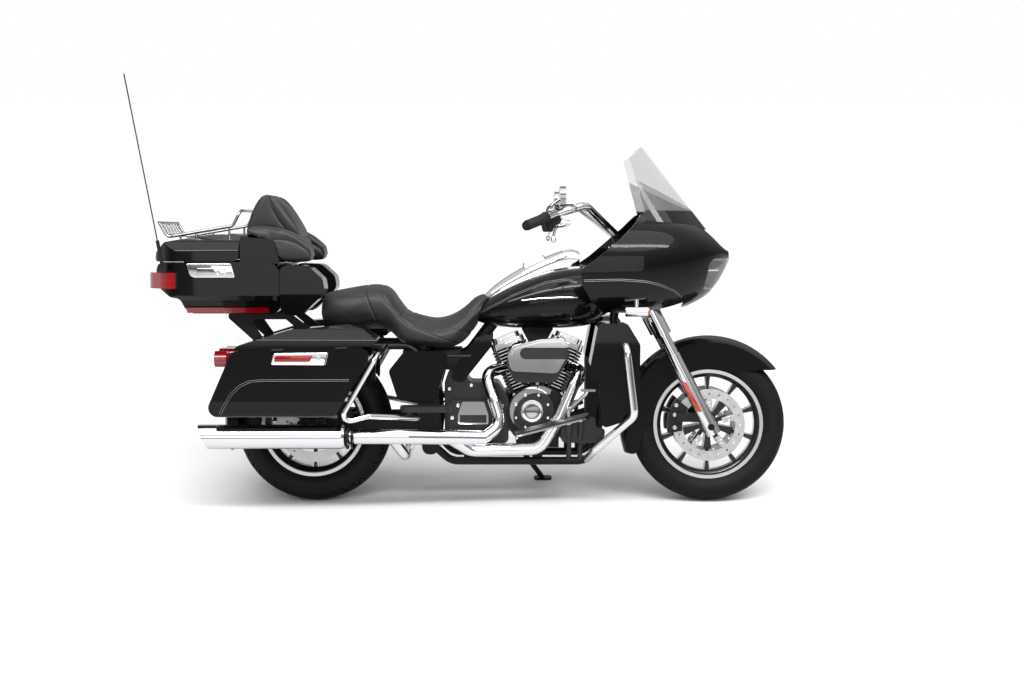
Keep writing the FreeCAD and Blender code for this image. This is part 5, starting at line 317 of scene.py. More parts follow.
def brushed_metal(name, tone, roughness=0.3):
    graph = Graph(name)
    x, y, z = graph.upright()
    streak_place = graph.node("ShaderNodeCombineXYZ", sockets=(x * 40.0, y * 900.0, z * 40.0))
    streaks = graph.noise(1.0, 3.0, 0.6, streak_place)
    bluish = (tone, tone, tone * 1.02)
    base = graph.blend(streaks, rgba(bluish, 0.8), rgba(bluish, 1.15))
    return graph.finish(
        Base_Color=base, Metallic=1.0, Roughness=roughness + streaks * 0.15,
        Normal=graph.bump(streaks, 0.05, 0.0003),
    )


def tyre_rubber():
    graph = Graph("tyre_rubber")
    dust = graph.noise(14.0, 5.0, 0.6)
    fine = graph.noise(500.0, 3.0)
    base = graph.blend(dust, grey(0.0025), grey(0.006))
    return graph.finish(
        Base_Color=base, Roughness=0.5 + dust * 0.2, Specular_IOR_Level=0.18,
        Normal=graph.bump(fine, 0.15, 0.0005),
    )


def moulded_rubber():
    graph = Graph("moulded_rubber")
    fine = graph.noise(380.0, 3.0)
    base = graph.blend(fine, grey(0.007), grey(0.015))
    return graph.finish(
        Base_Color=base, Roughness=0.55 + fine * 0.15, Specular_IOR_Level=0.3,
        Normal=graph.bump(fine, 0.2, 0.0006),
    )


def leather():
    graph = Graph("seat_leather")
    grain = graph.cells(420.0, "DISTANCE_TO_EDGE")
    creases = graph.noise(26.0, 6.0, 0.6)
    wear = graph.noise(3.0, 3.0)
    base = graph.blend(wear, rgba(colours().leather, 0.75), rgba(colours().leather, 1.6))
    height = grain.math("MINIMUM", 0.25) * 2.0 + creases * 0.8
    return graph.finish(
        Base_Color=base, Roughness=0.36 + creases * 0.2, Normal=graph.bump(height, 0.28, 0.0008),
        Specular_IOR_Level=0.4, Sheen_Weight=0.06, Sheen_Roughness=0.4,
    )


def clear_glass():
    graph = Graph("clear_cover")
    haze = graph.noise(4.0, 2.0)
    base = graph.blend(haze, (0.1, 0.1, 0.105, 1.0), (0.14, 0.14, 0.145, 1.0))
    return graph.finish(
        Base_Color=base, Roughness=0.04, Alpha=0.42 + haze * 0.04, Coat_Weight=0.4, Specular_IOR_Level=0.4,
    )


def windscreen_shield():
    """Clear sheet that greys the view a little, with the dark lower vent lip and a black foot."""
    lip_x, lip_z, lip_slope = 1.35, 1.3, 0.5
    black_to, clear_from = 1.19, 1.205
    graph = Graph("windscreen_shield")
    x, _, z = graph.upright()
    lip = z < (lip_z - (x - lip_x) * lip_slope)
    foot = graph.node("ShaderNodeMapRange", {"interpolation_type": "SMOOTHSTEP"}, {
        "Value": z, "From Min": black_to, "From Max": clear_from, "To Min": 1.0, "To Max": 0.0,
    })
    haze = graph.noise(5.0, 2.0)
    alpha = either(0.085 + haze * 0.04 + lip * 0.26, foot * 0.97)
    base = graph.blend(foot, (0.045, 0.045, 0.047, 1.0), (0.008, 0.008, 0.009, 1.0))
    return graph.finish(
        Base_Color=base, Roughness=0.04, Alpha=alpha, Coat_Weight=0.15, Specular_IOR_Level=0.25,
    )


def lens(name, colour):
    # The lenses glow faintly, and so do the bag and fork reflectors, which are no lamps: a painted glow.
    painted_glow = 0.05
    rib = 260.0
    graph = Graph(name)
    x, _, z = graph.upright()
    ribs = (x * rib).math("SINE") + (z * rib).math("SINE")
    depth = graph.noise(30.0, 2.0)
    base = graph.blend(depth, rgba(colour, 0.75), rgba(colour, 1.25))
    return graph.finish(
        Base_Color=base, Roughness=0.12 + depth * 0.04, Coat_Weight=1.0, Emission_Color=base,
        Emission_Strength=painted_glow, Normal=graph.bump(ribs, 0.12, 0.0006),
    )


def finned_black():
    """Black fins whose outer edges are machined bright."""
    tilt = math.radians(22.5)
    bright_from = 0.0735
    bright_aside = 0.0765
    graph = Graph("finned_cylinder")
    x, y, z = graph.upright()
    side = (x > CRANK_X) * 2.0 - 1.0
    run = (x - CRANK_X) * math.cos(tilt) - side * (z - CRANK_Z) * math.sin(tilt)
    edge = either(abs(run) > bright_from, abs(y) > bright_aside)
    speckle = graph.noise(240.0, 2.0)
    base = graph.blend(edge, rgba((0.014, 0.014, 0.015)), rgba((0.62, 0.63, 0.65)))
    return graph.finish(
        Base_Color=base, Metallic=edge, Roughness=0.36 - edge * 0.14 + speckle * 0.06,
        Normal=graph.bump(speckle, 0.1, 0.0004),
    )


def cast_wheel(name, centre_x, lip_from):
    """Gloss black casting with machined spoke flanks and a bright outer lip."""
    spokes = 10
    pitch = math.tau / spokes
    hub_to, lip_gap, spoke_half = 0.066, 0.012, 0.0123
    waist_at, waist_half, flare = 0.15, 0.0052, 0.12
    graph = Graph(name)
    x, y, z = graph.upright()
    run = x - centre_x
    rise = z - TYRE_RADIUS
    reach = away(run, rise)
    turn = (run.math("ARCTAN2", rise) + pitch * (spokes + 0.5)) % pitch - pitch / 2
    aside = abs(reach * turn.math("SINE"))
    waist = (abs(reach - waist_at) * flare) + waist_half
    flank = both(both(aside > waist, within(reach, hub_to, lip_from - lip_gap)), abs(y) < spoke_half)
    bright = either(reach > lip_from, flank)
    smear = graph.noise(12.0, 3.0)
    base = graph.blend(bright, rgba((0.007, 0.007, 0.0075)), rgba((0.78, 0.79, 0.81)))
    return graph.finish(
        Base_Color=base, Metallic=bright, Roughness=0.18 + smear * 0.1, Coat_Weight=0.6 - bright * 0.6,
        Normal=graph.bump(smear, 0.02, 0.0004),
    )


def painted(name, black):
    """Chrome with satin black where a place on the piece, given upright, lies in the black share."""
    graph = Graph(name)
    share = black(*graph.upright())
    smear = graph.noise(9.0, 4.0, 0.6)
    base = graph.blend(share, rgba(colours().chrome), rgba((0.008, 0.008, 0.0085)))
    return graph.finish(
        Base_Color=base, Metallic=1.0 - share, Roughness=0.06 + share * 0.26 + smear * 0.05,
        Normal=graph.bump(graph.noise(240.0, 2.0), share * 0.06 + 0.01, 0.0004),
    )


def air_cleaner_black(x, y, z):
    """Black in the band sunk across its face and over its back."""
    band_low, band_high, band_from = 0.602, 0.65, 0.847
    rim_y, back_y = -0.2314, -0.1805
    band = both(both(within(z, band_low, band_high), x > band_from), y > rim_y)
    return either(band, y > back_y)


def cam_cover_black(x, y, z):
    """Black but for two bright rings, one around the timer cover and one around the crankshaft."""
    inner, outer = (0.045, 0.0625), (0.0985, 0.1235)
    inner_top, face_y = 0.452, -0.17
    outer_ring = within(away(x - CRANK_X, z - CRANK_Z), *outer)
    inner_ring = both(within(away(x - TIMER_X, z - TIMER_Z), *inner), z < inner_top)
    return 1.0 - both(either(inner_ring, outer_ring), either(y < face_y, outer_ring))


def gearbox_black(x, y, z):
    """Black but for its outer face, which is bright around a low window."""
    face_y, cap = -0.1375, (0.374, 0.424)
    window_x, window_z, half_width, half_height = 0.658, 0.352, 0.054, 0.016
    round_window = either(abs(x - window_x) > half_width, abs(z - window_z) > half_height)
    return 1.0 - both(y < face_y, either(within(z, *cap), round_window))


def board_black(x, y, z):
    """Black but for the bright slanted slab of each floorboard."""
    middle_x, middle_z, slope = 0.828, 0.298, math.radians(14.5)
    low, high, slab_from_y, slab_from_x = -0.012, 0.0075, 0.204, 0.8
    rise = (z - middle_z) - (x - middle_x) * math.tan(slope)
    slab = both(within(rise, low, high), abs(y) > slab_from_y)
    return 1.0 - both(slab, x > slab_from_x)


def studio_floor():
    graph = Graph("studio_floor")
    tone = graph.noise(0.4, 1.0)
    lit = graph.blend(tone, (0.86, 0.86, 0.865, 1.0), (0.88, 0.88, 0.885, 1.0))
    seen = graph.node("ShaderNodeLightPath")
    base = graph.blend(seen, grey(0.6), lit)
    return graph.finish(Base_Color=base, Roughness=0.75, Specular_IOR_Level=0.0)


def build_materials():
    return {
        "body_paint": gloss_paint(),
        "frame_paint": satin_black("frame_paint", 0.004, 0.3),
        "engine_black": satin_black("engine_black", 0.005, 0.34, 300.0, 0.15, 0.3),
        "cylinders": finned_black(),
        "chrome": chrome(),
        "steel": brushed_metal("brushed_steel", 0.6),
        "tyre": tyre_rubber(),
        "rubber": moulded_rubber(),
        "leather": leather(),
        "plastic": satin_black("textured_plastic", 0.006, 0.5, 420.0, 0.25),
        "clear": clear_glass(),
        "windscreen": windscreen_shield(),
        # Chrome at less than half brightness for the rack, mirrors, reservoirs and timer hub. On the mirrors
        # it is a painted reflection of the dark that their glass mirrors.
        "dark_chrome": chrome("thin_bar_chrome", 0.42, 0.06),
        "boards": painted("floorboard_plate", board_black),
        "red_lamp": lens("red_lens", colours().red),
        "amber_lamp": lens("amber_lens", colours().amber),
        # The headlamp's plating at half brightness: painted shade, so the lamp reads dark inside its scoop.
        "headlamp": chrome("lamp_reflector", 0.5, 0.08),
        "front_wheel": cast_wheel("front_casting", WHEELBASE, 0.212),
        "rear_wheel": cast_wheel("rear_casting", 0.0, 0.199),
        "air_cleaner": painted("air_cleaner_plate", air_cleaner_black),
        "cam_cover": painted("cam_cover_plate", cam_cover_black),
        "transmission": painted("gearbox_plate", gearbox_black),
        "stripe": brushed_metal("stripe_grey", 0.35, 0.4),
        "floor": studio_floor(),
    }


MATERIALS = {}


def material(name):
    if not MATERIALS:
        MATERIALS.update(build_materials())
    return MATERIALS[name]


def only(item):
    bpy.ops.object.select_all(action="DESELECT")
    item.hide_set(False)
    item.select_set(True)
    bpy.context.view_layer.objects.active = item
    return item


def baked(item):
    """Bakes the piece's place, turn and scale into its mesh."""
    only(item)
    bpy.ops.object.transform_apply(location=True, rotation=True, scale=True)
    return item


def settled(item, place):
    """Bakes the piece's own place into its mesh, and then the given one."""
    baked(item).matrix_world = place
    return baked(item)


def parked(item, name, finish, body="chassis", smooth=HARD_EDGE):
    """Leans a finished upright piece onto the stand, paints it and lets it ride on its body."""
    settled(item, PARK)
    bpy.ops.object.shade_smooth_by_angle(angle=smooth)
    item.name = name
    item.data.name = name
    item.data.materials.clear()
    item.data.materials.append(material(finish))
    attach(item, body)
    return item


@contextmanager
def editing(item, mode="VERT", action="DESELECT"):
    """Edit mode, at first with nothing selected; the mesh it gives is for choosing what is then shaped."""
    only(item)
    bpy.ops.object.mode_set(mode="EDIT")
    bpy.ops.mesh.select_mode(type=mode)
    bpy.ops.mesh.select_all(action=action)
    yield bmesh.from_edit_mesh(item.data)
    bpy.ops.object.mode_set(mode="OBJECT")


def choose(item, mesh, elements, test):
    for element in elements:
        element.select_set(bool(test(element)))
    mesh.select_flush_mode()
    bmesh.update_edit_mesh(item.data)


def ring(points):
    """A closed chain of edges through the points."""
    bpy.ops.mesh.primitive_circle_add(vertices=len(points), fill_type="NOTHING")
    item = bpy.context.object
    for vertex, point in zip(item.data.vertices, points):
        vertex.co = point
    return item


def middle(face):
    return face.calc_center_median()


def upright_copy(node, name):
    """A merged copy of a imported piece, stood upright, to be shaped further."""
    item = bpy.data.objects.new(name, frame["nodes"][node].data.copy())
    bpy.context.collection.objects.link(item)
    return welded(settled(item, UNPARK))


def welded(item, threshold=MERGE):
    with editing(item, action="SELECT"):
        bpy.ops.mesh.remove_doubles(threshold=threshold)
        bpy.ops.mesh.normals_make_consistent(inside=False)
    return item


def joined(items):
    first = only(items[0])
    for item in items[1:]:
        item.select_set(True)
    bpy.ops.object.join()
    return first


def spread(item, places):
    """Copies of a piece at each place, every one with its own mesh, joined with the first."""
    made = []
    for place in places:
        twin = item.copy()
        twin.data = item.data.copy()
        bpy.context.collection.objects.link(twin)
        twin.matrix_world = place @ item.matrix_world
        made.append(baked(twin))
    bpy.data.objects.remove(item)
    return joined(made)


def plate(outline, y_from, y_to, corner, edge):
    """A flat piece whose outline is given as seen from the side, with rounded corners and soft edges."""
    bpy.ops.mesh.primitive_circle_add(vertices=len(outline), fill_type="NGON")
    item = bpy.context.object
    for vertex, (x, z) in zip(item.data.vertices, outline):
        vertex.co = (x, y_from, z)
    with editing(item, "EDGE", "SELECT") as mesh:
        bpy.ops.mesh.extrude_region_move(TRANSFORM_OT_translate={"value": (0, y_to - y_from, 0)})
        bpy.ops.mesh.select_all(action="SELECT")
        bpy.ops.mesh.normals_make_consistent(inside=False)
        if corner:
            def upright_edge(edge):
                run = edge.verts[0].co - edge.verts[1].co
                return abs(run.y) > run.length * 0.99
            choose(item, mesh, mesh.edges, upright_edge)
            bpy.ops.mesh.bevel(offset=corner, segments=5)
    return softened(item, edge)


def softened(item, width):
    return applied(item, "BEVEL", width=width, segments=2, limit_method="ANGLE", angle_limit=BEVEL_FROM)


def strand(points, radius):
    """A round rod or painted line through the points."""
    bpy.ops.curve.primitive_bezier_curve_add()
    item = bpy.context.object
    spline = item.data.splines[0]
    spline.bezier_points.add(len(points) - 2)
    for knot, point in zip(spline.bezier_points, points):
        knot.co = point
        knot.handle_left_type = knot.handle_right_type = "AUTO"
    spline.resolution_u = 8
    item.data.bevel_depth = radius
    item.data.bevel_resolution = 3
    item.data.use_fill_caps = True
    bpy.ops.object.convert(target="MESH")
    return welded(item, MERGE / 2)


def first_met(node, start, heading):
    """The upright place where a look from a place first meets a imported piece."""
    hit, place = frame["nodes"][node].ray_cast(PARK @ Vector(start), PARK.to_3x3() @ Vector(heading))[:2]
    if not hit:
        raise ValueError("nothing of %s is seen from %s" % (node, start))
    return UNPARK @ place


def on_skin(node, x, z, side=RIGHT, lift=0.0003):
    """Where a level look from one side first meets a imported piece."""
    met = first_met(node, (x, side * 0.95, z), (0, -side, 0))
    return Vector((x, met.y + side * lift, z))


def spots_on_skin(node, spots, side=RIGHT):
    return [on_skin(node, x, z, side, SEATED) for x, z in spots]


def on_back(node, y, z, lift):
    """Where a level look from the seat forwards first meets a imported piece."""
    met = first_met(node, (0.9, y, z), (1, 0, 0))
    return Vector((met.x - lift, y, z))


def stripe(node, trail, radius, side, count=40):
    """A painted line that follows a panel's skin through places seen from the side."""
    lengths = [math.dist(a, b) for a, b in zip(trail, trail[1:])]
    whole = sum(lengths)
    points = []
    for index in range(count + 1):
        left = whole * index / count
        for start, end, length in zip(trail, trail[1:], lengths):
            if left <= length or (start, end) == (trail[-2], trail[-1]):
                share = min(1.0, left / length)
                x, z = (near + (far - near) * share for near, far in zip(start, end))
                points.append(on_skin(node, x, z, side))
                break
            left -= length
    return strand(points, radius)


def stripes(node, trail, radius, count=40):
    """The same painted line on the right and left sides."""
    return joined([stripe(node, trail, radius, side, count) for side in (RIGHT, LEFT)])


def dial(radius, depth, place, sides, sunk, rim):
    """A round head facing the side, with a sunk face inside a raised rim."""
    bpy.ops.mesh.primitive_cylinder_add(
        vertices=sides, radius=radius, depth=depth, location=place, rotation=(math.pi / 2, 0, 0)
    )
    item = baked(bpy.context.object)
    near = min(vertex.co.y for vertex in item.data.vertices) + depth * 0.01
    with editing(item, "FACE") as mesh:
        choose(item, mesh, mesh.faces, lambda face: middle(face).y < near)
        bpy.ops.mesh.inset(thickness=radius * rim)
        bpy.ops.mesh.extrude_region_move(TRANSFORM_OT_translate={"value": (0, depth * sunk, 0)})
    return softened(item, radius * 0.06)


def socket_heads(places, radius, depth, side=RIGHT):
    """Socket-headed bolts that face one side, one modelled and the rest copied."""
    facing = TURNED if side == LEFT else Matrix()
    head = dial(radius, depth, ORIGIN, 12, 0.5, 0.42)
    return spread(head, [Matrix.Translation(place) @ facing for place in places])


def bolts(name, places, radius, body="chassis"):
    return parked(socket_heads(places, radius, radius * 1.1), name, "chrome", body=body)


def round_places(x, y, z, radius, count, start=0.0):
    """Even places on a circle seen from the side, the first one given in degrees from the top."""
    made = []
    for index in range(count):
        angle = math.radians(start) + math.tau * index / count
        made.append(Vector((x + radius * math.sin(angle), y, z + radius * math.cos(angle))))
    return made


def both_sides(item):
    return applied(baked(item), "MIRROR", use_axis=(False, True, False), use_mirror_merge=False)


def path_reach(place, path):
    """How far a place is from a chain of straight runs."""
    least = 1.0
    for start, end in zip(path, path[1:]):
        share = intersect_point_line(place, start, end)[1]
        near = start.lerp(end, min(1.0, max(0.0, share)))
        least = min(least, (place - near).length)
    return least


def applied(item, kind, **settings):
    only(item)
    modifier = item.modifiers.new(kind.lower(), kind)
    for key, value in settings.items():
        setattr(modifier, key, value)
    bpy.ops.object.modifier_apply(modifier=modifier.name)
    return item


class CRUISER_OT_stage(bpy.types.Operator):
    """Lay the white floor, hang the soft boxes and set the camera at the side view"""
    bl_idname = "cruiser.stage"
    bl_label = "Studio and camera"

    # Name, place, aim, width, height and power in watts.
    soft_boxes = (
        ("long_strip", (0.2, -2.6, 3.4), (0, 0, 0.6), 7.0, 0.5, 170.0),
        ("front_panel", (0.4, -7.5, 2.4), (0, 0, 0.7), 6.0, 2.4, 70.0),
    )
    tent_from = (0.15, -0.45, 1.0)
    tent_strength = 1.9
    tent_width = math.radians(70)
    # Greys that the plating mirrors, by how far up the sky they are.
    sky_greys = ((0.0, 0.5), (0.03, 0.36), (0.09, 0.06), (0.22, 0.24), (0.6, 0.7))

    def execute(self, context):
        scene = context.scene
        scene.view_settings.view_transform = "Standard"
        bpy.ops.object.select_all(action="DESELECT")
        bpy.ops.mesh.primitive_plane_add(size=sizes().floor_size)
        floor = context.object
        floor.name = "studio_floor"
        floor.data.materials.append(material("floor"))
        self.sky(scene)
        self.light(
            "SUN", "overhead_tent", self.tent_from, self.tent_from, energy=self.tent_strength,
            angle=self.tent_width,
        )
        for name, place, aim, width, height, power in self.soft_boxes:
            self.light(
                "AREA", name, place, Vector(place) - Vector(aim), shape="RECTANGLE", size=width,
                size_y=height, energy=power,
            )
        self.camera(scene)
        return {"FINISHED"}

    def light(self, kind, name, place, back, **settings):
        """Hangs a light whose back faces the given way."""
        bpy.ops.object.light_add(type=kind, location=place)
        light = bpy.context.object
        light.name = name
        for key, value in settings.items():
            setattr(light.data, key, value)
        light.rotation_euler = Vector(back).to_track_quat("Z", "Y").to_euler()

    def sky(self, scene):
        """Greys by height for what the bike mirrors, and plain white for the camera."""
        graph = Graph("studio_sky", "worlds", "ShaderNodeOutputWorld")
        rise = graph.node("ShaderNodeSeparateXYZ", None, (graph.node("ShaderNodeTexCoord"),), "Z")
        stops = [(share, grey(tone)) for share, tone in self.sky_greys]
        mirrored = graph.node("ShaderNodeValToRGB", {"stops": stops}, (rise,))
        tone = graph.blend(graph.node("ShaderNodeLightPath"), mirrored, grey(1.0))
        scene.world = graph.shown(graph.node("ShaderNodeBackground", None, (tone,)))

    def camera(self, scene):
        place = Vector((sizes().camera_ahead, -sizes().camera_distance, sizes().camera_height))
        turn = Matrix.Rotation(math.radians(90) - sizes().camera_pitch, 4, "X")
        bpy.ops.object.camera_add()
        camera = bpy.context.object
        camera.name = "photo_camera"
        camera.matrix_world = PARK @ Matrix.Translation(place) @ turn
        camera.data.lens = sizes().camera_lens
        camera.data.dof.use_dof = False
        scene.camera = camera


class CRUISER_OT_finishes(bpy.types.Operator):
    """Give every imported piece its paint, plating, rubber or glass"""
    bl_idname = "cruiser.finishes"
    bl_label = "Finishes of the packed pieces"

    own_finish = {
        "cylinders": "cylinders",
        "windscreen": "windscreen",
        "front_wheel": "front_wheel",
        "rear_wheel": "rear_wheel",
        "air_cleaner": "air_cleaner",
        "cam_cover": "cam_cover",
        "transmission": "transmission",
        "front_calipers": "engine_black",
        "rear_caliper": "engine_black",
        "rear_shocks": "engine_black",
        "tank_console": "chrome",
        "front_signals": "chrome",
        "luggage_rack": "dark_chrome",
        # The mirrors' dimmed chrome paints the dark reflection of their glass.
        "mirrors": "dark_chrome",
        "floorboards": "boards",
    }

    def execute(self, context):
        for name, node in frame["nodes"].items():
            chosen = self.own_finish.get(name, SLOT_OF[name])
            node.data.materials.clear()
            node.data.materials.append(material(chosen))
        return {"FINISHED"}


class CRUISER_OT_upholstery(bpy.types.Operator):
    """Upholster the seat, the passenger's backrest and the two armrests with padded leather"""
    bl_idname = "cruiser.upholstery"
    bl_label = "Padded leather"

    # Seams as seen from the side: ahead of the rear axle and above the ground, in metres.
    seat_seams = (
        ((0.226, 0.905), (0.219, 0.88), (0.236, 0.831), (0.258, 0.78), (0.274, 0.735)),
        (
            (0.279, 0.905), (0.292, 0.857), (0.323, 0.811), (0.364, 0.77), (0.415, 0.729), (0.492, 0.698),
            (0.6, 0.657),
        ),
        ((0.364, 0.77), (0.382, 0.79), (0.41, 0.806)),
        ((0.6, 0.712), (0.64, 0.706), (0.676, 0.69)),
        ((0.04, 0.842), (0.12, 0.851), (0.216, 0.855)),
    )
    seat_base = 0.655
    seat_voxel, seat_swell = 0.006, 0.01
    pad_seams = (
        ((-0.262, 1.1), (-0.229, 1.115), (-0.194, 1.13), (-0.15, 1.131), (-0.094, 1.117), (-0.02, 1.084)),
        ((-0.167, 1.27), (-0.152, 1.204), (-0.125, 1.157), (-0.094, 1.117), (-0.04, 1.04)),
    )
    arm_seams = (
        (
            (-0.24, 1.04), (-0.183, 1.069), (-0.134, 1.079), (-0.081, 1.079), (-0.036, 1.066), (0.004, 1.039),
            (0.022, 1.01),
        ),
    )

    pad_voxel, pad_swell = 0.005, 0.009
    taken_in = 0.004
    # Half width and depth of the channel beside a seam, then of its stitched line.
    stitching = ((0.005, 0.001), (0.0024, 0.0016))
    pressure = 4.0
    last_step = 20

    def execute(self, context):
        seat = upright_copy("seat", "seat_cover")
        self.stuff(seat, self.seat_seams, self.seat_voxel, self.seat_swell, self.seat_base)
        parked(seat, "seat_cover", "leather", smooth=SOFT_EDGE)
        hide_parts("seat")
        pads = upright_copy("backrest", "backrest_pad")
        with editing(pads, action="SELECT"):
            bpy.ops.mesh.separate(type="LOOSE")
        pads = [item for item in bpy.data.objects if item.name.startswith("backrest_pad")]
        for item in pads:
            centre = sum((vertex.co for vertex in item.data.vertices), Vector()) / len(item.data.vertices)
            in_middle = abs(centre.y) < 0.05
            name = "backrest_pad" if in_middle else "armrest_left" if centre.y > 0 else "armrest_right"
            seams = self.pad_seams if in_middle else self.arm_seams
            self.stuff(item, seams, self.pad_voxel, self.pad_swell, 0.0)
            item.name = name + "_shape"
            parked(item, name, "leather", smooth=SOFT_EDGE)
            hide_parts("backrest")
        return {"FINISHED"}

    def stuff(self, item, seams, voxel, swell, base):
        """Takes the cover in a little, blows it up between its pinned seams, then sinks the stitch lines."""
        paths = [[Vector((x, 0, z)) for x, z in seam] for seam in seams]
        applied(item, "REMESH", mode="VOXEL", voxel_size=voxel)
        applied(item, "SMOOTH", factor=0.5, iterations=6)
        with editing(item, action="SELECT"):
            bpy.ops.transform.shrink_fatten(value=-self.taken_in)

        def seam_reach(place):
            flat = Vector((place.x, 0, place.z))
            return min(path_reach(flat, path) for path in paths)

        held = item.vertex_groups.new(name="held")
        for vertex in item.data.vertices:
            if vertex.co.z < base or seam_reach(vertex.co) < voxel * 0.9:
                held.add([vertex.index], 1.0, "REPLACE")
        self.inflate(item, swell)
        applied(item, "SUBSURF", levels=1, render_levels=1)
        for width, depth in self.stitching:
            with editing(item) as mesh:
                choose(item, mesh, mesh.verts, lambda vertex: seam_reach(vertex.co) < width)
                bpy.ops.transform.shrink_fatten(value=-depth)

    def inflate(self, item, cap):
        """Blows the cover up as cloth, and holds each point within the cap of where it began."""
        before = [vertex.co.copy() for vertex in item.data.vertices]
        only(item)
        cloth = item.modifiers.new("padding", "CLOTH")
        cloth.settings.use_pressure = True
        cloth.settings.uniform_pressure_force = self.pressure
        cloth.settings.effector_weights.gravity = 0.0
        cloth.settings.vertex_group_mass = "held"
        cloth.settings.quality = 4
        cloth.collision_settings.use_collision = False
        for step in range(1, self.last_step + 1):
            bpy.context.scene.frame_set(step)
        bpy.ops.object.modifier_apply(modifier="padding")
        bpy.context.scene.frame_set(1)
        for vertex, start in zip(item.data.vertices, before):
            shift = vertex.co - start
            if shift.length > cap:
                vertex.co = start + shift.normalized() * cap
        item.vertex_groups.clear()
        applied(item, "SMOOTH", factor=0.5, iterations=2)


class CRUISER_OT_tyres(bpy.types.Operator):
    """Mould both tyres with slanted tread grooves and ribbed sidewalls"""
    bl_idname = "cruiser.tyres"
    bl_label = "Treaded tyres"

    crown_radius = 0.095
    wall = 0.009
    slant = math.radians(9)
    rib = 0.0012
    groove_edge = 0.0011
    groove_depth = 0.0042
    # Where the crown is cut into rows, as shares of the way from its middle to the shoulder.
    rows = (0.93, 0.8, 0.66, 0.54, 0.42, 0.3, 0.18, 0.07)
    # Slices of the tyre from one tread block to the next.
    block = 12

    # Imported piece, body, axle, rim radius, width, half widths of the crown and at the bead, and slices.
    tyres = (
        ("front_tyre", "front_wheel", WHEELBASE, 0.226, 0.13, 0.055, 0.046, 288),
        ("rear_tyre", "rear_wheel", 0.0, 0.213, 0.18, 0.076, 0.068, 264),
    )

    def execute(self, context):
        for tyre in self.tyres:
            self.mould(*tyre)
        return {"FINISHED"}

    def mould(self, node, body, centre_x, rim_radius, width, shoulder_half, bead, steps):
        centre = TYRE_RADIUS - self.crown_radius
        shoulder = centre + math.sqrt(self.crown_radius ** 2 - shoulder_half ** 2)
        waist = (rim_radius + shoulder) / 2
        outside = self.flank((bead, rim_radius), (width / 2, waist), (shoulder_half, shoulder), 9)
        ribbed = [(y + self.rib * (index in (3, 5)), radius) for index, (y, radius) in enumerate(outside)]
        half = ribbed + [(shoulder_half * share, self.crown(shoulder_half * share)) for share in self.rows]
        outer = half + [(-y, radius) for y, radius in reversed(half)]
        inner_top = (shoulder_half - self.wall, shoulder - self.wall)
        inside = self.flank((bead - self.wall, rim_radius), (width / 2 - self.wall, waist), inner_top, 4)
        inside.append((0.0, TYRE_RADIUS - 2 * self.wall))
        inner = inside + [(-y, radius) for y, radius in reversed(inside[:-1])]
        points = []
        for y, radius in outer + list(reversed(inner)):
            angle = self.swept(y, shoulder_half)
            points.append((radius * math.sin(angle), y, radius * math.cos(angle)))
        item = ring(points)
        step = math.tau / steps
        with editing(item, action="SELECT"):
            bpy.ops.mesh.spin(steps=steps, angle=math.tau, center=ORIGIN, axis=(0, 1, 0))
        welded(item)

        def grooved(face):
            place = middle(face)
            radius = math.hypot(place.x, place.z)
            if radius < shoulder + 0.0005 or radius < self.crown(place.y) - 0.003:
                return False
            angle = math.atan2(place.x, place.z) - self.swept(place.y, shoulder_half)
            column = int(round(angle / step - 0.5)) % self.block
            share = abs(place.y) / shoulder_half
            half_block = self.block // 2
            long_at, short_at = (0, half_block) if place.y > 0 else (half_block, 0)
            if column == long_at:
                return self.rows[6] < share < self.rows[0]
            if column == short_at:
                return self.rows[3] < share < self.rows[0]
            return column % half_block == half_block // 2 and self.rows[2] < share < self.rows[1]

        with editing(item, "FACE") as mesh:
            choose(item, mesh, mesh.faces, grooved)
            bpy.ops.mesh.inset(thickness=self.groove_edge)
            bpy.ops.transform.shrink_fatten(value=-self.groove_depth)
        item.location = (centre_x, 0, TYRE_RADIUS)
        parked(item, node + "_treaded", "tyre", body=body)
        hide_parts(node)

    def crown(self, y):
        """The tread's radius at a place across the tyre."""
        return TYRE_RADIUS - self.crown_radius + math.sqrt(max(0.0, self.crown_radius ** 2 - y * y))

    def swept(self, y, shoulder_half):
        """How far round the slanted tread lags at a place across the tyre."""
        return self.slant * min(1.0, abs(y) / shoulder_half)

    def flank(self, start, bulge, end, count):
        """Places along a smooth sidewall that passes through its bulge halfway."""
        made = []
        for index in range(count):
            share = index / (count - 1)
            rest = 1 - share
            made.append(tuple(
                rest * rest * low + 2 * rest * share * (2 * mid - (low + high) / 2) + share * share * high
                for low, mid, high in zip(start, bulge, end)
            ))
        return made


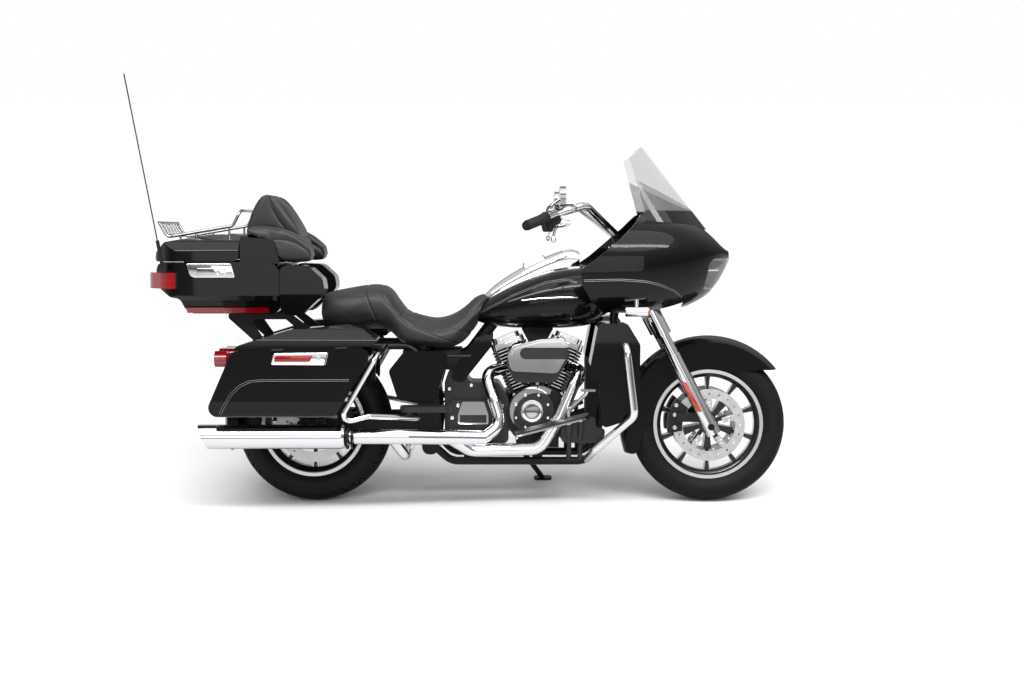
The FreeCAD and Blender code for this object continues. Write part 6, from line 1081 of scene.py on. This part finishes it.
class CRUISER_OT_luggage(bpy.types.Operator):
    """Fit the latch plates, locks, reflectors and pinstripes of the saddlebags and the top box"""
    bl_idname = "cruiser.luggage"
    bl_label = "Latches, reflectors and stripes of the luggage"

    bag_skin = 0.427
    box_skin = 0.298
    sunk = 0.0006
    bag_plate_out, box_plate_out = 0.0078, 0.006
    rim_width, rim_height = 0.0035, 0.0012
    reflector_in, reflector_out = 0.005, 0.0092
    pad_in, pad_out = 0.005, 0.0095
    bag_lock = (0.065, 0.008, 0.6225)
    box_lock = (-0.3397, 0.01, 0.9508)
    bag_plate = ((-0.1185, 0.5972), (0.094, 0.5956), (0.1065, 0.644), (-0.1055, 0.6415))
    keyhole = ((0.0634, 0.618), (0.0666, 0.618), (0.0666, 0.627), (0.0634, 0.627))
    bag_reflector = ((-0.1066, 0.6085), (0.0327, 0.6085), (0.047, 0.6345), (-0.0992, 0.6325))
    box_plate = ((-0.466, 0.986), (-0.4528, 0.94), (-0.437, 0.931), (-0.2755, 0.931), (-0.291, 0.986))
    box_pad = ((-0.4263, 0.9335), (-0.3105, 0.9335), (-0.3105, 0.968), (-0.422, 0.968))
    # The stripe climbs along its first places, so its twin lies behind it there and not only below.
    upright_count = 5
    upright_share = 0.9
    bag_stripe = (
        (-0.324, 0.405), (-0.3057, 0.4373), (-0.277, 0.4854), (-0.2435, 0.5166), (-0.205, 0.5344),
        (-0.1618, 0.5387), (0.1835, 0.5396),
    )

    def execute(self, context):
        skin = -self.bag_skin
        outer = plate(self.bag_plate, skin + self.sunk, skin - self.bag_plate_out, 0.008, self.rim_height)
        with editing(outer, "FACE") as mesh:
            choose(outer, mesh, mesh.faces, lambda face: face.normal.y < -0.9 and face.calc_area() > 0.003)
            bpy.ops.mesh.inset(thickness=self.rim_width)
            bpy.ops.transform.translate(value=(0, self.rim_height, 0))
        parked(both_sides(outer), "bag_latch_plates", "chrome")
        # The red reflectors take the lens finish with its faint painted glow.
        painted_glow = plate(self.bag_reflector, skin - self.reflector_in, skin - self.reflector_out, 0.006, 0.0009)
        parked(both_sides(painted_glow), "bag_reflectors", "red_lamp")
        x, out, z = self.bag_lock
        lock = dial(0.0085, 0.0052, (x, skin - out, z), 28, 0.25, 0.35)
        slot_bar = plate(self.keyhole, skin - 0.009, skin - 0.01, 0, 0.0002)
        parked(both_sides(joined([lock, slot_bar])), "bag_locks", "steel")
        skin = -self.box_skin
        outer = plate(self.box_plate, skin + self.sunk, skin - self.box_plate_out, 0.005, self.rim_height)
        pad = plate(self.box_pad, skin - self.pad_in, skin - self.pad_out, 0.003, 0.0014)
        parked(joined([outer, pad]), "box_latch_plate", "chrome")
        x, out, z = self.box_lock
        lock = dial(0.0095, 0.0056, (x, skin - out, z), 28, 0.25, 0.35)
        parked(lock, "box_lock", "steel")
        for shift, name in STRIPE_PAIR:
            trail = [
                (x - shift * self.upright_share * (index < self.upright_count), z + shift)
                for index, (x, z) in enumerate(self.bag_stripe)
            ]
            lines = [stripe("saddlebag_" + hand, trail, 0.0007, side) for hand, side in HANDS]
            parked(joined(lines), "bag_stripe_" + name, "stripe")
        return {"FINISHED"}


class CRUISER_OT_controls(bpy.types.Operator):
    """Put the switch housings, levers and fluid reservoirs on the bars"""
    bl_idname = "cruiser.controls"
    bl_label = "Hand controls"

    housing = (
        (0.9308, 1.1859), (1.0017, 1.202), (1.0065, 1.1649), (1.0017, 1.1423), (0.9824, 1.1343),
        (0.9743, 1.1101), (0.9501, 1.1117), (0.942, 1.1423), (0.95, 1.1617), (0.9308, 1.1714),
    )
    housing_lid = ((0.934, 1.18), (0.998, 1.195), (1.001, 1.16), (0.956, 1.158))
    reservoir = ((1.01, 1.192), (1.066, 1.186), (1.072, 1.208), (1.052, 1.226), (1.018, 1.224))
    reservoir_lid = ((1.016, 1.2225), (1.05, 1.2245), (1.05, 1.23), (1.016, 1.228))
    bracket = ((1.004, 1.166), (1.04, 1.16), (1.046, 1.138), (1.022, 1.128), (1.0, 1.14))
    lever = (
        (1.034, -0.318, 1.142), (1.012, -0.338, 1.134), (0.99, -0.372, 1.128), (0.979, -0.41, 1.106),
        (0.975, -0.44, 1.09),
    )
    housing_across = (-0.306, -0.362)
    lid_across = (-0.356, -0.3665)
    bracket_across = (-0.3, -0.33)
    tank_across = (-0.292, -0.338)
    tank_lid_across = (-0.296, -0.334)
    button = (0.972, -0.366, 1.172)
    lever_tip = (0.9755, -0.446, 1.08)
    tip_radius = 0.0105
    tip_stretch = 0.006
    grip_end = ((0.8745, -0.4496, 1.1361), (0.8718, -0.4518, 1.135), (0.8707, -0.4528, 1.1345))

    def execute(self, context):
        shell = plate(self.housing, *self.housing_across, 0.006, 0.0025)
        cap = plate(self.housing_lid, *self.lid_across, 0.004, 0.0012)
        button = dial(0.0065, 0.009, self.button, 20, 0.2, 0.3)
        housings = self.on_bars([shell, cap, button], "switch_housings", "plastic")
        blade = strand(self.lever, 0.0052)
        bpy.ops.mesh.primitive_uv_sphere_add(
            segments=20, ring_count=12, radius=self.tip_radius, location=self.lever_tip
        )
        ball = bpy.context.object
        with editing(ball) as mesh:
            choose(ball, mesh, mesh.verts, lambda vertex: vertex.co.z > self.tip_stretch)
            bpy.ops.transform.translate(value=(0, 0, self.tip_stretch))
        bracket = plate(self.bracket, *self.bracket_across, 0.004, 0.0015)
        levers = self.on_bars([blade, ball, bracket], "hand_levers", "chrome")
        tank = plate(self.reservoir, *self.tank_across, 0.006, 0.003)
        lid = plate(self.reservoir_lid, *self.tank_lid_across, 0.002, 0.001)
        tanks = self.on_bars([tank, lid], "fluid_reservoirs", "dark_chrome", "chrome")
        for item in (housings, levers, tanks):
            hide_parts("hand_controls")
        rim = strand(self.grip_end[:2], 0.019)
        plug = strand(self.grip_end[1:], 0.0125)
        self.on_bars([rim, plug], "grip_ends", "rubber")
        return {"FINISHED"}

    def on_bars(self, items, name, finish, slot=None):
        """Joins a right-hand piece, mirrors it to the left bar and lets both steer."""
        return parked(both_sides(joined(items)), name, finish, "steering")


class CRUISER_OT_fork_trim(bpy.types.Operator):
    """Add the fork reflectors, the disc and caliper bolts and the axle caps"""
    bl_idname = "cruiser.fork_trim"
    bl_label = "Fork and front wheel trim"

    reflector = ((1.5036, 0.5019), (1.5245, 0.5019), (1.589, 0.3813), (1.5685, 0.3813))
    caliper = ((1.482, 0.364), (1.488, 0.404), (1.482, 0.312))
    disc_face = 0.076
    disc_circle = 0.085
    disc_bolt = 0.0095

    def execute(self, context):
        strip = plate(self.reflector, -0.133, -0.1452, 0.0025, 0.0009)
        parked(both_sides(strip), "fork_reflectors", "amber_lamp", body="steering")
        places = round_places(WHEELBASE, -self.disc_face, TYRE_RADIUS, self.disc_circle, 5)
        bolts("disc_bolts_right", places, self.disc_bolt, "front_wheel")
        places = round_places(WHEELBASE, self.disc_face, TYRE_RADIUS, self.disc_circle, 5)
        heads = socket_heads(places, self.disc_bolt, 0.01, LEFT)
        parked(heads, "disc_bolts_left", "chrome", body="front_wheel")
        cap = dial(0.014, 0.006, (WHEELBASE, -0.1525, TYRE_RADIUS), 24, 0.6, 0.3)
        parked(both_sides(cap), "axle_caps", "frame_paint", body="steering")
        heads = socket_heads(spots_on_skin("front_calipers", self.caliper), 0.0085, 0.01)
        parked(both_sides(heads), "caliper_bolts", "steel", body="steering")
        return {"FINISHED"}


class CRUISER_OT_signals(bpy.types.Operator):
    """Fit the amber lenses of the front turn signals"""
    bl_idname = "cruiser.signals"
    bl_label = "Front signal lenses"

    place = (1.354, -0.286, 0.7965)

    def execute(self, context):
        lamp = dial(0.0215, 0.012, ORIGIN, 32, 0.25, 0.12)
        lamp.rotation_euler = (0, 0, math.radians(90))
        baked(lamp).location = self.place
        parked(both_sides(lamp), "front_signal_lenses", "amber_lamp")
        return {"FINISHED"}


class CRUISER_OT_pinstripes(bpy.types.Operator):
    """Paint the double pinstripes of the fairing and tank and lay the tank's bright strips"""
    bl_idname = "cruiser.pinstripes"
    bl_label = "Pinstripes of fairing and tank"

    fairing_line = (
        (1.098, 0.9229), (1.2426, 0.9264), (1.3397, 0.9198), (1.4047, 0.9037), (1.4567, 0.881),
        (1.4923, 0.8548),
    )
    tank_line = ((0.687, 0.7848), (0.8208, 0.858), (0.954, 0.9114), (1.0339, 0.9215), (1.078, 0.91))
    tank_strip = ((0.856, 0.8347), (0.93, 0.844), (1.01, 0.8476), (1.08, 0.8476))

    def execute(self, context):
        for node, line in (("fairing", self.fairing_line), ("fuel_tank", self.tank_line)):
            for shift, name in STRIPE_PAIR:
                trail = [(x, z + shift) for x, z in line]
                parked(stripes(node, trail, 0.0008), "%s_stripe_%s" % (node, name), "stripe")
        parked(stripes("fuel_tank", self.tank_strip, 0.0026, 24), "tank_side_strips", "chrome")
        return {"FINISHED"}


class CRUISER_OT_fasteners(bpy.types.Operator):
    """Drive the bright bolts of the engine and gearbox and fit their round covers"""
    bl_idname = "cruiser.fasteners"
    bl_label = "Engine and frame bolts"

    gearbox = (
        (0.596, 0.406), (0.73, 0.408), (0.572, 0.355), (0.744, 0.348), (0.585, 0.292), (0.744, 0.292),
    )
    gearbox_case = ((0.56, 0.47), (0.65, 0.485), (0.75, 0.46), (0.775, 0.4), (0.775, 0.32))
    crankcase = ((0.825, 0.445), (0.92, 0.49), (1.02, 0.45), (1.025, 0.3), (0.835, 0.27))
    rocker_half = ((0.148, 0.67), (0.1, 0.686), (0.074, 0.674))
    primary = (
        (0.61, 0.43), (0.73, 0.439), (0.86, 0.44), (0.97, 0.415), (1.0, 0.355), (0.965, 0.295),
        (0.85, 0.285), (0.7, 0.295), (0.6, 0.308), (0.585, 0.37),
    )
    # Place, radius and name of the round covers on the primary case.
    lids = ((0.93, 0.365, 0.062, "clutch_cover"), (0.64, 0.365, 0.036, "chain_cover"))
    timer_face = -0.16
    timer_circle = 0.07

    def execute(self, context):
        timer = (TIMER_X, self.timer_face, TIMER_Z)
        places = round_places(TIMER_X, self.timer_face + SEATED, TIMER_Z, self.timer_circle, 8, 22.5)
        bolts("cam_cover_bolts", places, 0.0055)
        parked(dial(0.045, 0.006, timer, 48, 0.35, 0.1), "timer_cover_rim", "chrome")
        parked(dial(0.033, 0.01, timer, 48, 0.35, 0.22), "timer_cover_hub", "dark_chrome")
        bolts("gearbox_bolts", spots_on_skin("transmission", self.gearbox), 0.008)
        bolts("gearbox_case_bolts", spots_on_skin("transmission", self.gearbox_case), 0.007)
        bolts("crankcase_bolts", spots_on_skin("crankcase", self.crankcase), 0.0065)
        heads = [(CRANK_X + way * x, z) for x, z in self.rocker_half for way in (-1, 1)]
        bolts("rocker_bolts", spots_on_skin("rocker_covers", heads), 0.0055)
        heads = socket_heads(spots_on_skin("primary_cover", self.primary, LEFT), 0.0065, 0.007, LEFT)
        parked(heads, "primary_cover_bolts", "chrome")
        for x, z, radius, name in self.lids:
            lid = dial(radius, 0.008, ORIGIN, 48, 0.4, 0.12)
            place = on_skin("primary_cover", x, z, LEFT, 0.003)
            parked(spread(lid, [Matrix.Translation(place) @ TURNED]), name, "chrome")
        return {"FINISHED"}


class CRUISER_OT_exhaust_trim(bpy.types.Operator):
    """Clamp the mufflers to the pipes with dark banded joints"""
    bl_idname = "cruiser.exhaust_trim"
    bl_label = "Exhaust clamps"

    radius = 0.0478
    width = 0.0095
    height = 0.303
    aside = 0.32

    def execute(self, context):
        bands = []
        for x in (0.186, 0.166):
            bpy.ops.mesh.primitive_cylinder_add(
                vertices=56, radius=self.radius, depth=self.width, end_fill_type="NOTHING",
                location=(x, -self.aside, self.height), rotation=(0, math.pi / 2, 0),
            )
            band = baked(bpy.context.object)
            with editing(band, "EDGE", "SELECT"):
                bpy.ops.mesh.bevel(offset=0.0008, segments=1)
            bands.append(applied(band, "SOLIDIFY", thickness=0.0016, offset=1.0))
        parked(both_sides(joined(bands)), "muffler_clamps", "frame_paint")
        return {"FINISHED"}


class CRUISER_OT_instruments(bpy.types.Operator):
    """Set the four round gauges in the dash"""
    bl_idname = "cruiser.instruments"
    bl_label = "Gauges"

    # How far aside, how high and how large: the speed and engine gauges, then the two small ones.
    gauges = ((0.072, 1.03, 0.05), (0.186, 1.02, 0.03))

    def execute(self, context):
        rims = []
        faces = []
        facing_back = Matrix.Rotation(math.radians(-90), 4, "Z")
        for y, z, radius in self.gauges:
            for way in (-1, 1):
                place = on_back("dash", way * y, z, 0.002)
                rim = dial(radius, 0.012, ORIGIN, 40, 0.5, 0.09)
                rims.append(spread(rim, [Matrix.Translation(place) @ facing_back]))
                face = dial(radius * 0.9, 0.004, ORIGIN, 40, 0.3, 0.62)
                place.x -= 0.001
                faces.append(spread(face, [Matrix.Translation(place) @ facing_back]))
        parked(joined(rims), "gauge_rims", "chrome")
        parked(joined(faces), "gauge_faces", "plastic")
        return {"FINISHED"}


OPERATORS = (
    CRUISER_OT_stage, CRUISER_OT_finishes, CRUISER_OT_upholstery, CRUISER_OT_tyres, CRUISER_OT_luggage,
    CRUISER_OT_controls, CRUISER_OT_fork_trim, CRUISER_OT_signals, CRUISER_OT_pinstripes,
    CRUISER_OT_fasteners, CRUISER_OT_exhaust_trim, CRUISER_OT_instruments,
)


class CRUISER_PT_panel(bpy.types.Panel):
    """Buttons for each group of pieces"""
    bl_idname = "CRUISER_PT_panel"
    bl_label = "Touring cruiser"
    bl_space_type = "VIEW_3D"
    bl_region_type = "UI"
    bl_category = "Touring cruiser"

    def draw(self, context):
        for operator in OPERATORS:
            self.layout.operator(operator.bl_idname)
        for group in (context.scene.cruiser_sizes, context.scene.cruiser_colours):
            box = self.layout.box()
            for name in group.__annotations__:
                box.prop(group, name)


CLASSES = (CruiserSizes, CruiserColours) + OPERATORS + (CRUISER_PT_panel,)


def register():
    for item in CLASSES:
        bpy.utils.register_class(item)
    bpy.types.Scene.cruiser_sizes = bpy.props.PointerProperty(type=CruiserSizes)
    bpy.types.Scene.cruiser_colours = bpy.props.PointerProperty(type=CruiserColours)


def unregister():
    del bpy.types.Scene.cruiser_colours
    del bpy.types.Scene.cruiser_sizes
    for item in reversed(CLASSES):
        bpy.utils.unregister_class(item)


def main():
    register()
    for operator in OPERATORS:
        group, name = operator.bl_idname.split(".")
        getattr(getattr(bpy.ops, group), name)()


if __name__ == "__main__":
    main()
